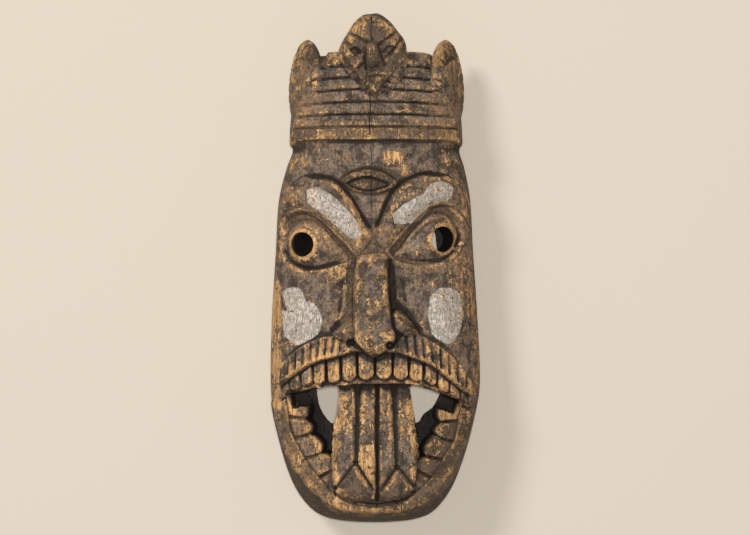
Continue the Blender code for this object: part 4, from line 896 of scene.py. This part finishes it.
# How far round each eye bore a point is, in radii, and how deep below the eye's surface
def roundBores(place, facing):
    x, y, z = place.T
    for middle, wide, tall, lean in eyeBores:
        midX, midY = at(*middle)
        down = boreAt * dims["faceDeep"] - z
        away = np.hypot((x - midX - down * lean) / wide, (y - midY) / tall) / (dims["eyeHole"] / 2)
        rim = (away > 1.04) & (away < 1.5) & (facing > 0.4) & (z > 0.05)
        flat = np.stack([x, y, np.ones(len(x))], 1)
        slope = np.linalg.lstsq(flat[rim], z[rim], rcond=None)[0]
        yield away, flat @ slope - z


# Where painted shade darkens the mouth and the eye bores, in metres
holeShade = {
    "mouthFrom": 0.091,  # height in the mouth where it begins
    "mouthOver": 0.018,  # and over which it grows
    "boreFrom": 0.0012,  # depth in an eye bore where it begins
    "boreOver": 0.0035,
    "boreEnd": 0.008,  # height above the back rim where it ends
}


# Painted shade in the mouth and inside the eye bores, and the worn rings round the bores
def holeShadeAndWornRings(place, facing):
    x, y, z = place.T
    outline = np.vstack([curve(*lipInnerLeft), curve(*lipInnerRight)[-2::-1], curve(*mouthTop)[-2:0:-1]])
    mouthIn = smooth(inside(outline, x, y, 40 * hair) / (12 * hair) - 0.5)
    tongueGap = inside(curve(*tongueOutline), x, y, 12 * hair)
    lowDown = smooth((holeShade["mouthFrom"] - z) / holeShade["mouthOver"])
    dark = mouthIn * smooth(0.5 - tongueGap / (2 * hair)) * lowDown
    rings = np.zeros(x.shape)
    for away, deep in roundBores(place, facing):
        walls = smooth((1.12 - away) / 0.05) * smooth((deep - holeShade["boreFrom"]) / holeShade["boreOver"])
        dark = np.maximum(dark, walls * (z > holeShade["boreEnd"]))
        rims = smooth((1.34 - away) / 0.14) * smooth((0.004 - np.abs(deep)) / 0.002)
        rings = np.maximum(rings, rims)
    return np.clip(dark, 0, 1), rings


# Ridges and hollows at three sizes: rounds of easing, and the height in metres that counts as one
reliefs = {"edgeFine": (12, 0.0012), "edgeBroad": (60, 0.0035), "sunk": (260, -0.008)}


# Each layer of the finish is held on the mesh as a value a vertex
def markSurface(mask):
    data = mask.data
    count = len(data.vertices)
    place, normal = np.empty(count * 3), np.empty(count * 3)
    data.vertices.foreach_get("co", place)
    data.vertices.foreach_get("normal", normal)
    pairs = np.empty(len(data.edges) * 2, int)
    data.edges.foreach_get("vertices", pairs)
    place, normal, pairs = place.reshape(-1, 3), normal.reshape(-1, 3), pairs.reshape(-1, 2)
    x, y, z = place.T
    front = smooth((z - 0.018) / 0.02) * smooth(normal[:, 2] * 3 + 1)
    dark, rings = holeShadeAndWornRings(place, normal[:, 2])
    layers = {name: standingOut(place, normal, pairs, rounds) / height
              for name, (rounds, height) in reliefs.items()}
    painted = wornPaintedAndShaded(x, y)
    painted["bare"] = np.maximum(painted["bare"], 0.62 * rings)
    # the painted layers include places darkened with painted shade and soot; the dark layer next paints shade
    # into the mouth and the eye bores
    layers.update({name: values * front for name, values in painted.items()})
    layers["dark"] = dark * (z > 0.012)
    layers["split"] = -splitDepths(x, y) * front
    layers["back"] = smooth(1 - z / 0.02) * (normal[:, 2] < -0.2) + (normal[:, 2] < -0.5) * 1.0
    for name, values in layers.items():
        data.attributes.new(name, "FLOAT", "POINT").data.foreach_set("value", np.clip(values, -4, 4))


# A socket that takes part in sums, so that the masks below read as plain expressions
class Value:
    def __init__(self, tree, socket):
        self.tree = tree
        self.socket = socket

    def work(self, operation, other=None, first=False):
        step = self.tree.nodes.new("ShaderNodeMath")
        step.operation = operation
        ends = [self, other] if not first else [other, self]
        for place, end in zip(step.inputs, ends):
            if isinstance(end, Value):
                self.tree.links.new(end.socket, place)
            elif end is not None:
                place.default_value = end
        return Value(self.tree, step.outputs[0])

    def __add__(self, other):
        return self.work("ADD", other)

    def __sub__(self, other):
        return self.work("SUBTRACT", other)

    def __rsub__(self, other):
        return self.work("SUBTRACT", other, True)

    def __mul__(self, other):
        return self.work("MULTIPLY", other)

    def __truediv__(self, other):
        return self.work("DIVIDE", other)

    def __rtruediv__(self, other):
        return self.work("DIVIDE", other, True)

    __radd__ = __add__
    __rmul__ = __mul__

    def clamp(self):
        return self.work("MAXIMUM", 0.0).work("MINIMUM", 1.0)

    # 0 below low, 1 above high, with a soft step between
    def step(self, low, high):
        t = ((self - low) / (high - low)).clamp()
        return t * t * (3 - 2 * t)


# A material: its nodes, the layers of the mesh, noises, mixes of colours, and the shader's own sockets
class Finish:
    def __init__(self, name):
        self.material = bpy.data.materials.new(name)
        self.material.use_nodes = True
        self.tree = self.material.node_tree
        self.shader = self.tree.nodes["Principled BSDF"]

    def node(self, kind, settings=None, sockets=None, out=0):
        made = self.tree.nodes.new("ShaderNode" + kind)
        for name, value in (settings or {}).items():
            setattr(made, name, value)
        for name, value in (sockets or {}).items():
            self.put(value, made.inputs[name])
        return Value(self.tree, made.outputs[out])

    def put(self, value, place):
        if isinstance(value, Value):
            self.tree.links.new(value.socket, place)
        else:
            place.default_value = value

    def layer(self, name):
        return self.node("Attribute", {"attribute_name": name}, out=2)

    def noise(self, where, scale, detail=4.0, rough=0.55, twist=0.0):
        return self.node("TexNoise", {}, {"Vector": where, "Scale": scale, "Detail": detail,
                                          "Roughness": rough, "Distortion": twist})

    def mix(self, share, under, over, blend="MIX"):
        return self.node("Mix", {"data_type": "RGBA", "blend_type": blend},
                         {0: share, 6: under, 7: over}, out=2)

    def set(self, **sockets):
        for name, value in sockets.items():
            self.put(value, self.shader.inputs[name])


paint = {
    "dark": (0.022, 0.015, 0.010, 1),       # soot and painted shade in the cuts, and pits in the coat
    "shade": (0.055, 0.036, 0.022, 1),      # painted shade in the broad hollows and darkened places, with some soot
    "worn": (0.170, 0.119, 0.081, 1),       # the common dark coat
    "deep": (0.043, 0.030, 0.021, 1),       # its darker patches
    "grey": (0.290, 0.232, 0.172, 1),       # dusty smears
    "thin": (0.270, 0.155, 0.075, 1),       # coat rubbed thin
    "brown": (0.250, 0.155, 0.084, 1),      # rubbed brown on lids, crown and lips
    "pale": (0.590, 0.525, 0.435, 1),       # pale coat on brows and cheeks
    "paleWorn": (0.270, 0.230, 0.190, 1),
    "bareLight": (0.640, 0.370, 0.155, 1),  # bare wood between its grain lines
    "bareDark": (0.300, 0.155, 0.062, 1),
    "back": (0.215, 0.125, 0.060, 1),       # unpainted back
    "hole": (0.012, 0.009, 0.007, 1),       # painted shade on the walls of the eye bores and in the mouth
    "crack": (0.010, 0.008, 0.006, 1),      # drying splits
    "grainShade": (0.5, 0.46, 0.42, 1),     # darkening along the grain
}
# Each noise of the finish: scale, detail, roughness and, where it has one, twist
textures = {
    "clouds": (38, 5, 0.6),             # broad changes of the wear
    "patches": (165, 5, 0.62),          # flakes of the coat
    "specks": (360, 3, 0.6),
    "mottle": (75, 6, 0.65),
    "fineMottle": (260, 5, 0.7),
    "grain": (900, 4, 0.6, 0.4),        # these run along the grain
    "streaks": (210, 5, 0.65, 0.6),
    "smears": (95, 5, 0.6, 0.8),
    "checks": (210, 3, 0.5, 1.4),
}
finish = {
    "alongGrain": 0.16,                 # how far the noises of the grain are drawn out
    "bumpStrength": 0.85,
    "bumpDistance": 0.0012,
    "specular": 0.2,
}


def wornPaint():
    wood = Finish("worn painted wood")
    where = wood.node("TexCoord", out=3)
    along = wood.node("Mapping", {}, {"Vector": where, "Scale": (1, finish["alongGrain"], 1)})
    clouds, patches, specks, mottle, fineMottle = (
        wood.noise(where, *textures[name])
        for name in ("clouds", "patches", "specks", "mottle", "fineMottle"))
    grain, streaks, smears, checks = (
        wood.noise(along, *textures[name]) for name in ("grain", "streaks", "smears", "checks"))
    edgeFine, edgeBroad = wood.layer("edgeFine"), wood.layer("edgeBroad")
    ridge = (edgeFine * 0.55 + edgeBroad * 0.6).clamp()
    hollowed = (edgeFine * -0.5 + edgeBroad * -0.7).clamp()
    split = wood.layer("split")

    # bare wood shows where wear, ridges and breaks in the coat add up
    wear = (0.62 * wood.layer("bare") + (0.2 + 0.6 * clouds) * ridge - 0.8 * hollowed
            + 2.5 * (patches - 0.5) + 1.9 * (specks - 0.5) + 1.7 * (clouds - 0.5) + 0.5 * (streaks - 0.5))
    bare = wear.step(0.45, 0.49)
    thinned = wear.step(0.18, 0.46) * 0.85

    # the coat: dark, mottled, dusty, and rubbed brown in places
    coat = wood.mix(thinned, paint["worn"], paint["thin"])
    coat = wood.mix((1 - mottle).step(0.42, 0.60) * 0.9, coat, paint["deep"])
    coat = wood.mix(smears.step(0.52, 0.74) * 0.42, coat, paint["grey"])
    brown = (wood.layer("brown") * 1.3 + 2.0 * (clouds - 0.5) + 1.2 * (patches - 0.5)).step(0.3, 0.9)
    coat = wood.mix(brown * (0.35 + 0.55 * patches.step(0.4, 0.58)), coat, paint["brown"])
    coat = wood.mix((fineMottle - 0.5).step(0.03, 0.1) * 0.75, coat, paint["deep"])
    coat = wood.mix((0.5 - fineMottle).step(0.04, 0.16) * 0.35, coat, paint["grey"])

    # what is left of the pale coat lies over the dark one, and bare wood under both
    paleShare = (wood.layer("pale") * 1.35 - 0.35 * (1 - patches) - 0.3 * hollowed
                 + 0.5 * (streaks - 0.5)).step(0.18, 0.62)
    paleCoat = wood.mix(patches.step(0.38, 0.62), paint["paleWorn"], paint["pale"])
    coat = wood.mix(paleShare * 0.9, coat, paleCoat)
    timber = wood.mix(streaks.step(0.32, 0.66), paint["bareDark"], paint["bareLight"])
    colour = wood.mix(bare * 0.92, coat, timber)

    # painted shade with soot in the hollows and darkened places, painted shade with dirt in the cuts, painted
    # shade in the holes, the unpainted back and the splits
    sunk = wood.layer("sunk").clamp()
    sootAndShade = wood.layer("sootAndShade")
    sootAndShadeShare = (sunk.step(0.15, 0.9) * (0.6 - 0.6 * brown) + sootAndShade * (1.25 - 0.65 * bare)
             + 0.6 * sootAndShade * (0.5 - clouds)).clamp()
    colour = wood.mix(sootAndShadeShare * 0.9, colour, paint["shade"])
    # darker in the cuts and creases: painted shade, with patchy dirt
    grimeAndShade = (hollowed * 1.35 + 0.3 * sunk + 0.9 * (0.5 - patches)).step(0.24, 0.66)
    colour = wood.mix(grimeAndShade * (0.96 - 0.55 * brown), colour, paint["dark"])
    # the mouth and the eye bores are painted near black as shade
    colour = wood.mix(wood.layer("dark") * 0.97, colour, paint["hole"])
    behind = wood.mix(streaks, paint["bareDark"], paint["back"])
    colour = wood.mix(wood.layer("back").clamp() * 0.75, colour, behind)
    colour = wood.mix(split.step(0.25, 0.7) * 0.95, colour, paint["crack"])

    # thin checks in the coat, pits, and the grain
    checked = (1 - ((checks - 0.5) * (checks - 0.5) * 2200).clamp()) * patches.step(0.44, 0.58)
    pits = (specks.step(0.63, 0.68) + checked).clamp()
    colour = wood.mix(pits * 0.75, colour, paint["dark"])
    shaded = wood.mix(1.0, colour, paint["grainShade"], "MULTIPLY")
    colour = wood.mix((grain - 0.4).step(0.0, 0.25) * 0.45, colour, shaded)

    rough = 0.6 * patches + 0.35 * specks
    height = rough * (1 - 0.6 * paleShare) + 0.5 * grain - 0.9 * pits - 0.6 * bare - 0.8 * split
    bump = wood.node("Bump", {}, {"Strength": finish["bumpStrength"], "Distance": finish["bumpDistance"],
                                  "Height": height})
    wood.set(**{"Base Color": colour, "Normal": bump,
                "Roughness": (0.62 + 0.16 * patches + 0.1 * bare - 0.1 * paleShare).clamp(),
                "Specular IOR Level": finish["specular"]})
    return wood.material


stage = {
    "floorHalf": 6.0,
    "floorColour": (0.492, 0.432, 0.352, 1),
    "floorCloud": (0.47, 0.41, 0.335, 1),  # faint unevenness of the floor
}


def paleFloor():
    bm = bmesh.new()
    bmesh.ops.create_grid(bm, x_segments=1, y_segments=1, size=stage["floorHalf"])
    data = bpy.data.meshes.new("floor")
    bm.to_mesh(data)
    bm.free()
    floor = bpy.data.objects.new("floor", data)
    bpy.context.scene.collection.objects.link(floor)
    plain = Finish("pale floor")
    where = plain.node("TexCoord", out=3)
    faint = plain.noise(where, 3, 2) * 0.04
    plain.set(**{"Base Color": plain.mix(faint, stage["floorColour"], stage["floorCloud"]), "Roughness": 0.9})
    data.materials.append(plain.material)


# The key light comes from the crown's left, and the one above shines through the mouth gaps
lamps = {
    "key": {"place": (-4.3, 4.2, 5.3), "wide": 2.2, "watts": 400},
    "above": {"place": (0.03, 0.12, 5.6), "wide": 0.35, "watts": 285},
    "sky": (0.96, 0.96, 0.97, 1),
    "skyStrength": 0.24,
}


def softLight():
    for name in ("key", "above"):
        lamp = lamps[name]
        light = bpy.data.lights.new(name, "AREA")
        light.shape = "DISK"
        light.size = lamp["wide"]
        light.energy = lamp["watts"]
        made = bpy.data.objects.new(name, light)
        bpy.context.scene.collection.objects.link(made)
        made.location = lamp["place"]
        made.rotation_euler = (-Vector(lamp["place"])).to_track_quat("-Z", "Y").to_euler()
    world = bpy.data.worlds.new("studio")
    world.use_nodes = True
    ground = world.node_tree.nodes["Background"]
    ground.inputs["Color"].default_value = lamps["sky"]
    ground.inputs["Strength"].default_value = lamps["skyStrength"]
    bpy.context.scene.world = world
    bpy.context.scene.view_settings.view_transform = "Standard"


# The photograph is taken square on, so the camera looks straight down on the lying mask
camera = {
    "height": 4.8,
    "ahead": 0.003,
    "focus": 0.075,  # height at which the frame is as wide as stated
    "frameWide": 750 * 0.0012,
    "sensor": 36,
}


def cameraAbove():
    lens = bpy.data.cameras.new("camera")
    lens.sensor_width = camera["sensor"]
    lens.lens = camera["sensor"] * (camera["height"] - camera["focus"]) / camera["frameWide"]
    made = bpy.data.objects.new("camera", lens)
    bpy.context.scene.collection.objects.link(made)
    made.location = (0, camera["ahead"], camera["height"])
    bpy.context.scene.camera = made


print("carving the mask")
mask = carvedMask()
print("marking its wear on", len(mask.data.vertices), "vertices")
markSurface(mask)
print("painting it")
mask.data.materials.append(wornPaint())
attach(mask, "root")
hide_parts("carved_mask")
print("setting the floor, light and camera")
paleFloor()
softLight()
cameraAbove()
